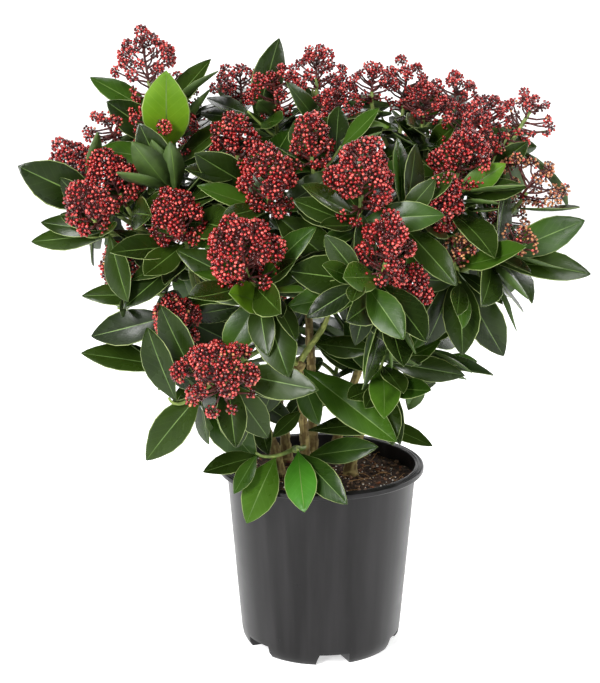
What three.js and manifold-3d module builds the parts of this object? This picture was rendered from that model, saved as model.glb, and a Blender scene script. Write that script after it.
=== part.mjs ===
// A potted skimmia: a broad evergreen shrub with domed heads of red buds, in a round nursery pot.
// Millimetres, +Z up, the front faces -Y, and the origin is the middle of the pot's flat underside.
import * as THREE from "three";
import Module from "manifold-3d";

const wasm = await Module();
wasm.setup();

// ---------------------------------------------------------------- sizes
const potSize = {
  height: 188,
  rimRadius: 105,
  mouthRadius: 96.3,
  lipHeight: 5.5,
  lipWall: 1.6,
  wall: 1.3,
  footRadius: 79,
  shoulderRadius: 82.8,
  shoulderHeight: 12,
  floor: 2,
  sides: 44,
};
const drainSize = { count: 6, first: 9, height: 10, innerRadius: 38, rootWidth: 12, mouthWidth: 36, taper: 3.5 };
const soilSize = { top: 174, edgeDrop: 2, edgeWidth: 9, bottom: 12.3, gap: 0.3, sides: 24 };
const stemSize = { foot: 5.6, flare: 3.2, flareHeight: 16, tip: 4.2, knob: 7, sides: 8, rings: 5 };
const boughSize = { foot: 3.3, tip: 2.7, knob: 4.6, sides: 5, rings: 4 };
const twigSize = { foot: 2.5, fork: 2.6, tip: 2.4, bud: 1.2, sides: 3 };
const leafSize = {
  short: 60,
  long: 98,
  slender: 0.36,
  broad: 0.47,
  thick: 2.2,
  steep: 48,
  flat: 88,
  arch: [-0.5, 0.15],
  sag: 0.7,
  sunk: 1.2,
  free: 6,
  perShoot: 6,
  patience: 14,
  whorl: 38,
};
const clearance = { joint: 0.3, limb: 0.6, leaf: 0.9 };

// Each stem rises from its foot (x, y) in the soil to the fork where its boughs part (x, y, z).
const stems = {
  stem_left: { foot: [-44, 2], fork: [-88, -8, 292] },
  stem_front: { foot: [-16, -22], fork: [-23, -58, 304] },
  stem_middle: { foot: [-8, 18], fork: [-14, 22, 350] },
  stem_right: { foot: [30, 2], fork: [74, -16, 296] },
  stem_back_left: { foot: [-36, 44], fork: [-58, 86, 300] },
  stem_back_right: { foot: [16, 46], fork: [52, 86, 306] },
};

// Each bough leaves the fork of its stem and divides once more, where its masses of foliage begin.
const boughs = {
  bough_left_high: { stem: "stem_left", reach: 0.4 },
  bough_left_low: { stem: "stem_left", reach: 0.42 },
  bough_front_left: { stem: "stem_front", reach: 0.42 },
  bough_front_right: { stem: "stem_front", reach: 0.42 },
  bough_middle_front: { stem: "stem_middle", reach: 0.4 },
  bough_middle_top: { stem: "stem_middle", reach: 0.4 },
  bough_right_high: { stem: "stem_right", reach: 0.42 },
  bough_right_low: { stem: "stem_right", reach: 0.45 },
  bough_back_left: { stem: "stem_back_left", reach: 0.42 },
  bough_back_middle: { stem: "stem_back_left", reach: 0.42 },
  bough_back_right_high: { stem: "stem_back_right", reach: 0.42 },
  bough_back_right_low: { stem: "stem_back_right", reach: 0.42 },
};

// Each mass is led by one head of buds. "lead" is its turn from the front towards +X in degrees, its
// distance out from the pot's axis and its height. "second" is the next head's bearing from the lead,
// how far it stands off and how much lower it is. Further heads follow by rule. "size" is the lead
// head's radius, "tall" its height over its width, and "lean" how far the shoots tip outwards.
const masses = {
  mass_peak_left: { bough: "bough_left_high", lead: [-93, 171, 586], second: [30, 36, 58], heads: 3, size: 29, tall: 1.15, lean: 0.15 },
  mass_shoulder_left: { bough: "bough_left_high", lead: [-76, 203, 478], second: [-132, 57, -12], heads: 3, size: 29, tall: 0.85, lean: 0.5 },
  mass_side_left: { bough: "bough_left_low", lead: [-73, 200, 412], second: [50, 72, 52], heads: 2, size: 25, tall: 0.85, lean: 0.6 },
  mass_front_left: { bough: "bough_left_low", lead: [-50, 173, 453], second: [-170, 58, -25], heads: 1, size: 25, tall: 0.9, lean: 0.4 },
  mass_foot_left: { bough: "bough_front_left", lead: [-28, 204, 326], second: [-100, 42, 24], heads: 1, size: 34, tall: 0.7, lean: 0.55 },
  mass_front_low: { bough: "bough_front_left", lead: [-24, 175, 427], second: [150, 78, 24], heads: 2, size: 34, tall: 0.8, lean: 0.35 },
  mass_front_right: { bough: "bough_front_right", lead: [20, 160, 430], second: [144, 34, 48], heads: 2, size: 28, tall: 0.95, lean: 0.35, leaves: [0, 5] },
  mass_front_mid: { bough: "bough_front_right", lead: [16, 124, 488], second: [100, 45, 20], heads: 1, size: 31, tall: 1.0, lean: 0.25 },
  mass_front_upper_left: { bough: "bough_middle_front", lead: [-25, 121, 485], second: [-152, 66, -30], heads: 2, size: 27, tall: 1.0, lean: 0.2 },
  mass_front_upper: { bough: "bough_middle_front", lead: [-9, 72, 517], second: [62, 44, 56], heads: 2, size: 22, tall: 1.0, lean: 0.15 },
  mass_top_left: { bough: "bough_middle_top", lead: [-131, 62, 558], second: [-138, 53, -6], heads: 2, size: 25, tall: 1.0, lean: 0.1 },
  mass_top_middle: { bough: "bough_middle_top", lead: [-173, 71, 580], second: [23, 54, 28], heads: 3, size: 25, tall: 1.1, lean: 0.1 },
  mass_front_upper_right: { bough: "bough_right_high", lead: [69, 139, 498], second: [-31, 46, 35], heads: 2, size: 27, tall: 0.9, lean: 0.3 },
  mass_peak_right: { bough: "bough_right_high", lead: [97, 212, 550], second: [-70, 27, 28], heads: 2, size: 21, tall: 0.9, lean: 0.6, leaves: [4, 6] },
  mass_side_right: { bough: "bough_right_low", lead: [84, 203, 474], second: [-132, 50, 24], heads: 2, size: 32, tall: 0.65, lean: 0.6 },
  mass_low_right: { bough: "bough_right_low", lead: [53, 149, 424], second: [107, 68, -4], heads: 2, size: 17, tall: 0.8, lean: 0.6 },
  mass_back_left: { bough: "bough_back_left", lead: [-136, 186, 500], second: [-60, 58, 10], heads: 3, size: 27, tall: 0.9, lean: 0.35 },
  mass_back_low_left: { bough: "bough_back_left", lead: [-120, 212, 415], second: [170, 60, 10], heads: 2, size: 26, tall: 0.8, lean: 0.6 },
  mass_back_middle: { bough: "bough_back_middle", lead: [178, 176, 512], second: [-90, 58, 6], heads: 3, size: 28, tall: 0.9, lean: 0.3 },
  mass_back_low: { bough: "bough_back_middle", lead: [-172, 205, 415], second: [90, 64, 6], heads: 2, size: 27, tall: 0.8, lean: 0.6 },
  mass_top_right: { bough: "bough_back_right_high", lead: [136, 125, 563], second: [-57, 54, 0], heads: 3, size: 24, tall: 1.1, lean: 0.13 },
  mass_shoulder_right: { bough: "bough_back_right_high", lead: [115, 139, 560], second: [17, 52, 33], heads: 3, size: 25, tall: 1.0, lean: 0.2 },
  mass_back_right: { bough: "bough_back_right_low", lead: [138, 200, 496], second: [-150, 58, 12], heads: 3, size: 27, tall: 0.9, lean: 0.4 },
  mass_back_low_right: { bough: "bough_back_right_low", lead: [122, 214, 412], second: [-160, 62, 8], heads: 2, size: 26, tall: 0.8, lean: 0.6 },
};

// Leafy shoots without heads that leave a stem low down and hang over the rim. "from" is the height
// at which they leave it, and "tip" is the turn, distance out and height of the first shoot's end.
const skirts = {
  skirt_front: { stem: "stem_front", from: 214, tip: [-17, 82, 226], second: [-80, 40, 2], shoots: 2, lean: 1.1, leaves: [6, 8] },
  skirt_right: { stem: "stem_right", from: 236, tip: [42, 92, 318], second: [128, 52, -10], shoots: 2, lean: 0.8, leaves: [0, 5] },
  skirt_left: { stem: "stem_left", from: 232, tip: [-72, 150, 300], second: [160, 60, 0], shoots: 2, lean: 0.9 },
  skirt_back: { stem: "stem_back_right", from: 230, tip: [160, 120, 300], second: [-100, 70, 4], shoots: 2, lean: 0.9 },
};

// Leaves that stand clear of the crown or hang over the rim, before the others. Each grows on the
// numbered shoot of its mass, "below" its end, to a tip given as its turn, distance out and height.
// "broad" is its width over its length, and "front" how far its face is turned to the front.
const standing = {
  mass_peak_left: [
    { shoot: 0, below: 34, tip: [-98, 233, 584], broad: 0.36, front: 0.6 },
    { shoot: 0, below: 40, tip: [-92, 114, 597], broad: 0.46, front: 0.7 },
    { shoot: 0, below: 62, tip: [-86, 206, 551], broad: 0.5, front: 0.9 },
  ],
  mass_shoulder_left: [
    { shoot: 1, below: 40, tip: [-81, 293, 497], broad: 0.5, front: 0.9 },
    { shoot: 2, below: 24, tip: [-76, 271, 442], broad: 0.34, front: 0.5 },
    { shoot: 2, below: 40, tip: [-81, 280, 420], broad: 0.3, front: 0.2 },
  ],
  mass_side_left: [
    { shoot: 0, below: 40, tip: [-72, 237, 373], broad: 0.34, front: 0.4 },
    { shoot: 1, below: 30, tip: [-73, 228, 332], broad: 0.42, front: 0.6 },
  ],
  mass_front_left: [
    { shoot: 1, below: 10, tip: [-69, 184, 532], broad: 0.48, front: 1 },
    { shoot: 0, below: 36, tip: [-57, 206, 395], broad: 0.34, front: 0.3 },
  ],
  mass_foot_left: [
    { shoot: 1, below: 40, tip: [-42, 238, 250], broad: 0.44, front: 0.9 },
    { shoot: 0, below: 26, tip: [-23, 206, 263], broad: 0.44, front: 0.8 },
    { shoot: 0, below: 42, tip: [-7, 161, 299], broad: 0.34, front: 0.5 },
  ],
  mass_front_low: [
    { shoot: 0, below: 40, tip: [-48, 175, 426], broad: 0.36, front: 0.6 },
    { shoot: 1, below: 40, tip: [9, 119, 380], broad: 0.36, front: 0.6 },
    { shoot: 1, below: 42, tip: [-35, 148, 386], broad: 0.42, front: 0.9 },
  ],
  mass_front_right: [
    { shoot: 0, below: 40, tip: [15, 130, 458], broad: 0.32, front: 1 },
    { shoot: 1, below: 40, tip: [23, 145, 344], broad: 0.5, front: 0.9 },
  ],
  mass_front_mid: [
    { shoot: 1, below: 22, tip: [41, 150, 488], broad: 0.44, front: 0.8 },
  ],
  mass_front_upper_left: [
    { shoot: 1, below: 36, tip: [-61, 161, 515], broad: 0.5, front: 1 },
  ],
  mass_top_left: [
    { shoot: 1, below: 40, tip: [-147, 100, 616], broad: 0.38, front: 1 },
  ],
  mass_low_right: [
    { shoot: 1, below: 26, tip: [83, 249, 447], broad: 0.36, front: 0.9 },
    { shoot: 1, below: 34, tip: [80, 258, 394], broad: 0.32, front: 0 },
    { shoot: 0, below: 38, tip: [63, 189, 371], broad: 0.36, front: 0.5 },
    { shoot: 0, below: 44, tip: [72, 179, 312], broad: 0.44, front: 0.6 },
  ],
  skirt_front: [
    { shoot: 1, below: 8, tip: [-49, 150, 211], broad: 0.44, front: 0.5 },
    { shoot: 1, below: 26, tip: [-33, 134, 165], broad: 0.5, front: 0.8 },
    { shoot: 1, below: 2, tip: [-37, 140, 193], broad: 0.4, front: 0.8 },
    { shoot: 0, below: 4, tip: [-8, 129, 181], broad: 0.5, front: 0.9 },
    { shoot: 0, below: 10, tip: [10, 124, 187], broad: 0.38, front: 0.8 },
  ],
  skirt_right: [
    { shoot: 0, below: 30, tip: [40, 113, 234], broad: 0.34, front: 0.8 },
    { shoot: 0, below: 12, tip: [59, 155, 299], broad: 0.34, front: 0.6 },
    { shoot: 1, below: 30, tip: [54, 103, 265], broad: 0.34, front: 0.6 },
  ],
  skirt_left: [
    { shoot: 0, below: 3, tip: [-76, 237, 315], broad: 0.36, front: 0.4 },
    { shoot: 0, below: 26, tip: [-67, 181, 337], broad: 0.4, front: 0.8 },
  ],
};

// How far out from the pot's axis the leaves reach at a height: [height, distance].
const crownShape = [[190, 112], [250, 160], [300, 190], [350, 215], [400, 240], [450, 265], [500, 270], [540, 235], [580, 205], [620, 190]];

const paint = {
  pot: { color: "#3f3d3d", roughness: 0.42 },
  soil: { color: "#2c1b12", roughness: 0.95 },
  stem: { color: "#8a7b4c", roughness: 0.8 },
  bough: { color: "#8d9a48", roughness: 0.65 },
  foliage: { color: "#2c4a22", roughness: 0.45 },
};

// ---------------------------------------------------------------- solids
function solidOf(geometry) {
  const mesh = new wasm.Mesh({
    numProp: 3,
    vertProperties: new Float32Array(geometry.getAttribute("position").array),
    triVerts: new Uint32Array(geometry.getIndex().array),
  });
  return new wasm.Manifold(mesh);
}

function indexed(corners, faces) {
  const geometry = new THREE.BufferGeometry();
  const flat = corners.flatMap((corner) => [corner.x, corner.y, corner.z]);
  geometry.setAttribute("position", new THREE.Float32BufferAttribute(flat, 3));
  geometry.setIndex(faces.flat());
  return geometry;
}

function meshOf(solid, look, name) {
  const { numProp, vertProperties, triVerts } = solid.getMesh();
  const places = new Float32Array((vertProperties.length / numProp) * 3);
  for (let i = 0; i < places.length / 3; i += 1) {
    for (let axis = 0; axis < 3; axis += 1) {
      places[3 * i + axis] = vertProperties[numProp * i + axis];
    }
  }
  const geometry = new THREE.BufferGeometry();
  geometry.setAttribute("position", new THREE.BufferAttribute(places, 3));
  geometry.setIndex(new THREE.BufferAttribute(new Uint32Array(triVerts), 1));
  geometry.computeVertexNormals();
  const mesh = new THREE.Mesh(geometry, new THREE.MeshStandardMaterial({ ...look, metalness: 0 }));
  mesh.name = name;
  return mesh;
}

// The largest piece alone: loose scraps and sealed hollows are left behind.
function wholePiece(solid) {
  const pieces = solid.simplify(0.01).decompose();
  return pieces.reduce((best, piece) => (piece.volume() > best.volume() ? piece : best));
}

function turned(profile, sides) {
  const corners = [];
  const faces = [];
  const count = profile.length;
  for (let k = 0; k < sides; k += 1) {
    const angle = (2 * Math.PI * k) / sides;
    for (const [radius, z] of profile) {
      corners.push(new THREE.Vector3(radius * Math.cos(angle), radius * Math.sin(angle), z));
    }
  }
  const corner = (k, i) => (k % sides) * count + i;
  for (let k = 0; k < sides; k += 1) {
    for (let i = 0; i + 1 < count; i += 1) {
      faces.push([corner(k, i), corner(k + 1, i), corner(k + 1, i + 1)]);
      faces.push([corner(k, i), corner(k + 1, i + 1), corner(k, i + 1)]);
    }
  }
  for (let k = 1; k + 1 < sides; k += 1) {
    faces.push([corner(0, 0), corner(k + 1, 0), corner(k, 0)]);
    faces.push([corner(0, count - 1), corner(k, count - 1), corner(k + 1, count - 1)]);
  }
  return indexed(corners, faces);
}

// ---------------------------------------------------------------- pot and soil
function wallRadius(z) {
  const top = potSize.mouthRadius + potSize.wall;
  const share = (z - potSize.shoulderHeight) / (potSize.height - potSize.shoulderHeight);
  return potSize.shoulderRadius + (top - potSize.shoulderRadius) * Math.min(Math.max(share, 0), 1);
}

function drainChannels(grow) {
  const shape = new THREE.Shape();
  const half = drainSize.mouthWidth / 2 + grow;
  const top = drainSize.height + grow;
  shape.moveTo(-half - drainSize.taper, -5);
  shape.lineTo(half + drainSize.taper, -5);
  shape.lineTo(half - drainSize.taper, top);
  shape.lineTo(-half + drainSize.taper, top);
  shape.closePath();
  const length = potSize.rimRadius - drainSize.innerRadius;
  const cutters = [];
  for (let i = 0; i < drainSize.count; i += 1) {
    const geometry = new THREE.ExtrudeGeometry(shape, { depth: length, bevelEnabled: false });
    const pinch = (drainSize.rootWidth + 2 * grow) / (2 * half);
    const place = geometry.getAttribute("position");
    for (let v = 0; v < place.count; v += 1) {
      const out = place.getZ(v) / length;
      place.setX(v, place.getX(v) * (pinch + (1 - pinch) * out));
    }
    geometry.rotateX(Math.PI / 2);
    geometry.translate(0, -drainSize.innerRadius + grow, 0);
    geometry.rotateZ(THREE.MathUtils.degToRad(drainSize.first + (360 * i) / drainSize.count));
    cutters.push(solidOf(welded(geometry)));
  }
  return wasm.Manifold.union(cutters);
}

// Corners that lie together become one, so that the faces share them.
function welded(geometry) {
  const place = geometry.getAttribute("position");
  const seen = new Map();
  const corners = [];
  const numbers = [];
  for (let v = 0; v < place.count; v += 1) {
    const corner = new THREE.Vector3().fromBufferAttribute(place, v);
    const key = corner.toArray().map((n) => Math.round(n * 1000)).join(",");
    if (!seen.has(key)) {
      seen.set(key, corners.length);
      corners.push(corner);
    }
    numbers.push(seen.get(key));
  }
  const order = geometry.getIndex() ? Array.from(geometry.getIndex().array) : numbers.map((_, v) => v);
  return indexed(corners, order.map((v) => numbers[v]));
}

function makePot() {
  const { height, rimRadius, mouthRadius, lipHeight, lipWall, wall, footRadius, sides } = potSize;
  const { shoulderRadius, shoulderHeight, floor } = potSize;
  const under = height - lipHeight;
  const outside = [
    [footRadius, 0],
    [shoulderRadius - 0.9, 5],
    [shoulderRadius, shoulderHeight],
    [wallRadius(under), under],
    [wallRadius(height - lipWall), height - lipWall],
    [rimRadius - lipWall, height - lipWall - 0.4],
    [rimRadius - lipWall, under],
    [rimRadius, under],
    [rimRadius, height - 1.4],
    [rimRadius - 1.4, height],
    [mouthRadius, height],
  ];
  const inside = [
    [footRadius - wall - 1, floor],
    [wallRadius(shoulderHeight) - wall, shoulderHeight],
    [mouthRadius, height],
    [mouthRadius, height + 6],
  ];
  const body = solidOf(turned(outside, sides)).subtract(drainChannels(0));
  const hollow = solidOf(turned(inside, sides)).subtract(drainChannels(floor));
  return wholePiece(body.subtract(hollow));
}

function makeSoil() {
  const { top, edgeDrop, edgeWidth, bottom, gap, sides } = soilSize;
  const inner = (z) => wallRadius(z) - potSize.wall - 2 * gap;
  const profile = [
    [inner(bottom), bottom],
    [inner(top), top - edgeDrop],
    [inner(top) - edgeWidth, top],
  ];
  return wholePiece(solidOf(turned(profile, sides)));
}

// ---------------------------------------------------------------- the growing rule
function seeded(seed) {
  let state = (seed * 2654435 + 12345) % 4294967296;
  return (low, high) => {
    state = (state * 1664525 + 1013904223) % 4294967296;
    return low + ((high - low) * state) / 4294967296;
  };
}

const up = new THREE.Vector3(0, 0, 1);
const light = new THREE.Vector3(0, -0.45, 0.55);

function bearing(turn) {
  const angle = THREE.MathUtils.degToRad(turn);
  return new THREE.Vector3(Math.sin(angle), -Math.cos(angle), 0);
}

function placeAt([turn, out, height]) {
  return bearing(turn).multiplyScalar(out).setZ(height);
}

function outward(place, lean) {
  return new THREE.Vector3(place.x, place.y, 0).normalize().multiplyScalar(lean).add(up).normalize();
}

function bend(from, fromWay, to, toWay) {
  const pull = from.distanceTo(to) * 0.36;
  return new THREE.CubicBezierCurve3(
    from.clone(),
    from.clone().addScaledVector(fromWay, pull),
    to.clone().addScaledVector(toWay, -pull),
    to.clone(),
  );
}

// Points along a limb, each with its own radius. "stops" are [millimetres along, radius], and a stop
// past the end runs straight on.
function ringsOn(curve, stops) {
  const length = curve.getLength();
  return stops.map(([along, radius]) => {
    const share = Math.min(along / length, 1);
    const way = curve.getTangentAt(share);
    const centre = curve.getPointAt(share).addScaledVector(way, Math.max(along - length, 0));
    return { centre, way, radius };
  });
}

function limbStops(curve, rings, foot, tip, ending) {
  const length = curve.getLength();
  const stops = [];
  for (let i = 0; i < rings; i += 1) {
    const share = i / (rings - 1);
    stops.push([share * (length + ending), foot + (tip - foot) * share]);
  }
  return stops;
}

// A swollen fork with a short pruned end, round the end of the curve.
function knobStops(length, radius) {
  return [
    [length - radius * 0.62, radius * 0.8],
    [length, radius],
    [length + radius * 0.62, radius * 0.8],
    [length + radius * 0.92, radius * 0.42],
  ];
}

function skin(rings, sides) {
  const corners = [];
  const faces = [];
  let side = new THREE.Vector3(1, 0.1, 0);
  rings.forEach(({ centre, way, radius }) => {
    side = side.clone().addScaledVector(way, -side.dot(way)).normalize();
    const other = way.clone().cross(side);
    for (let k = 0; k < sides; k += 1) {
      const angle = (2 * Math.PI * k) / sides;
      const across = side.clone().multiplyScalar(Math.cos(angle)).addScaledVector(other, Math.sin(angle));
      corners.push(centre.clone().addScaledVector(across, radius));
    }
  });
  for (let i = 0; i + 1 < rings.length; i += 1) {
    for (let k = 0; k < sides; k += 1) {
      const a = i * sides + k;
      const b = i * sides + ((k + 1) % sides);
      faces.push([a, b, b + sides], [a, b + sides, a + sides]);
    }
  }
  const last = (rings.length - 1) * sides;
  for (let k = 1; k + 1 < sides; k += 1) {
    faces.push([0, k + 1, k], [last, last + k, last + k + 1]);
  }
  return indexed(corners, faces);
}

// Everything that has grown so far, as balls along the limbs and one ball to a head.
const grown = [];

function ballsOf(rings, owner) {
  const balls = [];
  for (let i = 0; i + 1 < rings.length; i += 1) {
    const span = rings[i].centre.distanceTo(rings[i + 1].centre);
    const steps = Math.max(Math.ceil(span / 3), 1);
    for (let k = 0; k <= steps; k += 1) {
      const share = k / steps;
      balls.push({
        centre: rings[i].centre.clone().lerp(rings[i + 1].centre, share),
        radius: rings[i].radius + (rings[i + 1].radius - rings[i].radius) * share,
        owner,
      });
    }
  }
  return balls;
}

function room(balls, kin) {
  let least = Infinity;
  for (const ball of balls) {
    for (const other of grown) {
      if (!kin.includes(other.owner)) {
        const reach = ball.radius + other.radius;
        least = Math.min(least, ball.centre.distanceTo(other.centre) - reach);
      }
    }
  }
  return least;
}

// The roomiest of a few tries: the first one with enough room is taken.
function firstClear(tries, kin, wanted, attempt) {
  let best = null;
  for (let i = 0; i < tries; i += 1) {
    const made = attempt(i);
    made.room = room(made.balls, kin);
    if (made.room >= wanted) {
      return made;
    }
    if (!best || made.room > best.room) {
      best = made;
    }
  }
  return best;
}

// Two ways that leave one fork are turned apart until the angle between them is wide enough.
function apart(one, two, least) {
  const angle = one.angleTo(two);
  if (angle >= least) {
    return [one, two];
  }
  const hinge = one.clone().cross(two);
  if (hinge.length() < 0.01) {
    hinge.copy(one).cross(new THREE.Vector3(one.y, -one.x, 0.3));
  }
  hinge.normalize();
  const half = (least - angle) / 2;
  return [one.clone().applyAxisAngle(hinge, -half), two.clone().applyAxisAngle(hinge, half)];
}

// ---------------------------------------------------------------- limbs
const limbs = {};
const forks = {};

function keepLimb(name, rings, curve, sides) {
  limbs[name] = { rings, curve, solid: solidOf(skin(rings, sides)) };
}

// The root of a new limb comes back along its way until it stands one joint's clearance off its parent.
function snug(start, way, owner, radius, sides) {
  const rings = [0, 6].map((along) => ({ centre: start.clone().addScaledVector(way, along), way, radius }));
  const slack = solidOf(skin(rings, sides)).minGap(limbs[owner].solid, 8);
  return start.clone().addScaledVector(way, clearance.joint - slack);
}

function growStem(name) {
  const { foot, fork } = stems[name];
  const ground = new THREE.Vector3(foot[0], foot[1], soilSize.top + clearance.joint);
  const end = new THREE.Vector3(...fork);
  const way = end.clone().sub(ground).normalize().add(outward(end, 0.2)).normalize();
  const curve = bend(ground, up, end, way);
  const length = curve.getLength();
  const stops = limbStops(curve, stemSize.rings, stemSize.foot, stemSize.tip, -stemSize.knob * 1.3);
  stops[0][1] += stemSize.flare;
  stops.splice(1, 0, [stemSize.flareHeight * 0.4, stemSize.foot + stemSize.flare * 0.3]);
  stops.push(...knobStops(length, stemSize.knob));
  const rings = ringsOn(curve, stops);
  keepLimb(name, rings, curve, stemSize.sides);
  forks[name] = { centre: end, way: curve.getTangentAt(1), radius: stemSize.knob };
  grown.push(...ballsOf(rings, name));
}

function children(table, key, parent) {
  return Object.keys(table).filter((name) => table[name][key] === parent);
}

function growBoughs(stemName) {
  const fork = forks[stemName];
  const names = children(boughs, "stem", stemName);
  const ends = names.map((name) => {
    const goals = children(masses, "bough", name).map((mass) => placeAt(masses[mass].lead));
    const middle = goals[0].clone().add(goals[1]).multiplyScalar(0.5);
    return fork.centre.clone().lerp(middle, boughs[name].reach);
  });
  const aims = ends.map((end) => end.clone().sub(fork.centre).normalize().addScaledVector(up, 0.25).normalize());
  const ways = apart(aims[0], aims[1], 1.15);
  const starts = ways.map((way) => {
    const edge = fork.centre.clone().addScaledVector(way, fork.radius + clearance.joint);
    return snug(edge, way, stemName, boughSize.foot, boughSize.sides);
  });
  names.forEach((name, i) => {
    const bough = firstClear(9, [name, stemName], clearance.limb, (attempt) => {
      const random = seeded(300 + i * 40 + attempt + stemName.length * 7);
      const shift = attempt * 3;
      const end = ends[i].clone().add(new THREE.Vector3(random(-shift, shift), random(-shift, shift), random(-shift, shift)));
      const curve = bend(starts[i], ways[i], end, outward(end, 0.35));
      const length = curve.getLength();
      const stops = limbStops(curve, boughSize.rings, boughSize.foot, boughSize.tip, -boughSize.knob * 1.3);
      stops.push(...knobStops(length, boughSize.knob));
      const rings = ringsOn(curve, stops);
      return { rings, curve, end, balls: ballsOf(rings, name) };
    });
    keepLimb(name, bough.rings, bough.curve, boughSize.sides);
    forks[name] = { centre: bough.end, way: bough.curve.getTangentAt(1), radius: boughSize.knob };
    grown.push(...bough.balls);
  });
}

// ---------------------------------------------------------------- masses: twigs and heads
const grownMasses = [];

function headPlaces(order, { lead, tip, second, heads, shoots }) {
  const random = seeded(1000 + order * 17);
  const first = placeAt(lead ?? tip);
  const places = [first];
  const count = shoots ?? Math.max(heads, 2);
  const [turn, spread, drop] = second;
  for (let i = 1; i < count; i += 1) {
    const angle = turn + (i - 1) * 118 + (i > 1 ? random(-12, 12) : 0);
    const reach = spread * (i > 1 ? random(0.85, 1.1) : 1);
    const lower = i > 1 ? Math.abs(drop) * 0.5 + random(4, 16) : drop;
    places.push(first.clone().addScaledVector(bearing(angle), reach).addScaledVector(up, -lower));
  }
  return places;
}

// A dome of buds: a flat base of five corners, five more higher up between them, and a peak.
function headCorners({ centre, axis, radius, tall, seed }) {
  const random = seeded(seed);
  const side = new THREE.Vector3(1, 0.2, 0.1);
  side.addScaledVector(axis, -side.dot(axis)).normalize();
  const other = axis.clone().cross(side);
  const half = radius * tall;
  const ring = (height, size, shift) => {
    const made = [];
    for (let k = 0; k < 5; k += 1) {
      const angle = ((k + shift) * 2 * Math.PI) / 5;
      const lobe = radius * size * random(0.88, 1.12);
      made.push(
        centre
          .clone()
          .addScaledVector(axis, half * height * random(0.85, 1.15))
          .addScaledVector(side, lobe * Math.cos(angle))
          .addScaledVector(other, lobe * Math.sin(angle)),
      );
    }
    return made;
  };
  const low = ring(-0.55, 0.8, 0);
  const high = ring(0.32, 0.95, 0.5);
  const top = centre.clone().addScaledVector(axis, half);
  return [...low, ...high, top];
}

function headGeometry(head) {
  const faces = [[0, 2, 1], [0, 3, 2], [0, 4, 3]];
  for (let k = 0; k < 5; k += 1) {
    const next = (k + 1) % 5;
    faces.push([k, next, 5 + k], [next, 5 + next, 5 + k], [5 + k, 5 + next, 10]);
  }
  return indexed(headCorners(head), faces);
}

function growMass(name, order, plan, root) {
  const places = headPlaces(order, plan);
  const middle = places.reduce((sum, place) => sum.add(place), new THREE.Vector3()).divideScalar(places.length);
  const edge = root.centre.clone().addScaledVector(root.way, root.radius + clearance.joint);
  const start = snug(edge, root.way, root.owner, twigSize.foot, twigSize.sides);
  const hub = start.clone().lerp(middle, 0.36);
  const hubWay = middle.clone().sub(start).normalize().addScaledVector(root.way, 0.6).normalize();
  const kin = [name, root.owner];
  const trunk = firstClear(9, kin, clearance.limb, (attempt) => {
    const random = seeded(2000 + order * 31 + attempt);
    const shift = attempt * 3;
    const end = hub.clone().add(new THREE.Vector3(random(-shift, shift), random(-shift, shift), random(-shift, shift)));
    const curve = bend(start, root.way, end, hubWay);
    const rings = ringsOn(curve, limbStops(curve, 3, twigSize.foot, twigSize.fork, 0));
    return { rings, curve, end, balls: ballsOf(rings, name) };
  });
  grown.push(...trunk.balls);
  const mass = { name, order, root, trunk, shoots: [], span: plan.leaves ?? [0, 9] };
  places.forEach((place, i) => {
    const axis = outward(place, plan.lean);
    const bears = i < (plan.heads ?? 0);
    const radius = bears ? plan.size * [1, 0.9, 0.86][i] : 0;
    const tall = plan.tall ?? 1;
    const shoot = firstClear(12, kin, clearance.limb, (attempt) => {
      const random = seeded(3000 + order * 53 + i * 13 + attempt);
      const shift = attempt * 2.5;
      const shrink = 1 - attempt * 0.025;
      const centre = place.clone().add(new THREE.Vector3(random(-shift, shift), random(-shift, shift), random(-shift, shift)));
      const tip = bears ? centre.clone().addScaledVector(axis, -radius * tall * 0.45) : centre;
      const curve = bend(trunk.end, trunk.curve.getTangentAt(1), tip, axis);
      const stops = limbStops(curve, 4, twigSize.fork, twigSize.tip, 0);
      if (i > 0) {
        stops[0][1] = twigSize.bud;
      }
      const rings = ringsOn(curve, stops);
      const balls = ballsOf(rings, name);
      if (bears) {
        const most = Math.max(radius, radius * tall) * 1.06 * shrink;
        balls.push({ centre, radius: most, owner: name });
      }
      return { rings, curve, centre, radius: radius * shrink, balls };
    });
    grown.push(...shoot.balls);
    const head = { centre: shoot.centre, axis, radius: shoot.radius, tall, seed: 5000 + order * 10 + i };
    const rings = i > 0 ? shoot.rings : [...trunk.rings, ...shoot.rings.slice(1)];
    mass.shoots.push({ rings, curve: shoot.curve, axis, head: bears ? head : null });
  });
  grownMasses.push(mass);
}

function growAllLimbs() {
  Object.keys(stems).forEach(growStem);
  Object.keys(stems).forEach(growBoughs);
  let order = 0;
  for (const boughName of Object.keys(boughs)) {
    const fork = forks[boughName];
    const names = children(masses, "bough", boughName);
    const aims = names.map((name) => {
      const goal = placeAt(masses[name].lead);
      return goal.sub(fork.centre).normalize().addScaledVector(fork.way, 0.3).normalize();
    });
    const ways = apart(aims[0], aims[1], 1.3);
    names.forEach((name, i) => {
      growMass(name, order, masses[name], { ...fork, way: ways[i], owner: boughName });
      order += 1;
    });
  }
  for (const name of Object.keys(skirts)) {
    const plan = skirts[name];
    const { curve } = limbs[plan.stem];
    const share = (plan.from - curve.v0.z) / (curve.v3.z - curve.v0.z);
    const centre = curve.getPointAt(share);
    const way = placeAt(plan.tip).sub(centre).normalize();
    const trunkWay = curve.getTangentAt(share);
    way.addScaledVector(trunkWay, -way.dot(trunkWay)).normalize();
    const radius = stemSize.foot + (stemSize.tip - stemSize.foot) * share + 0.3;
    growMass(name, order, plan, { centre, way, radius, owner: plan.stem });
    order += 1;
  }
}

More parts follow.
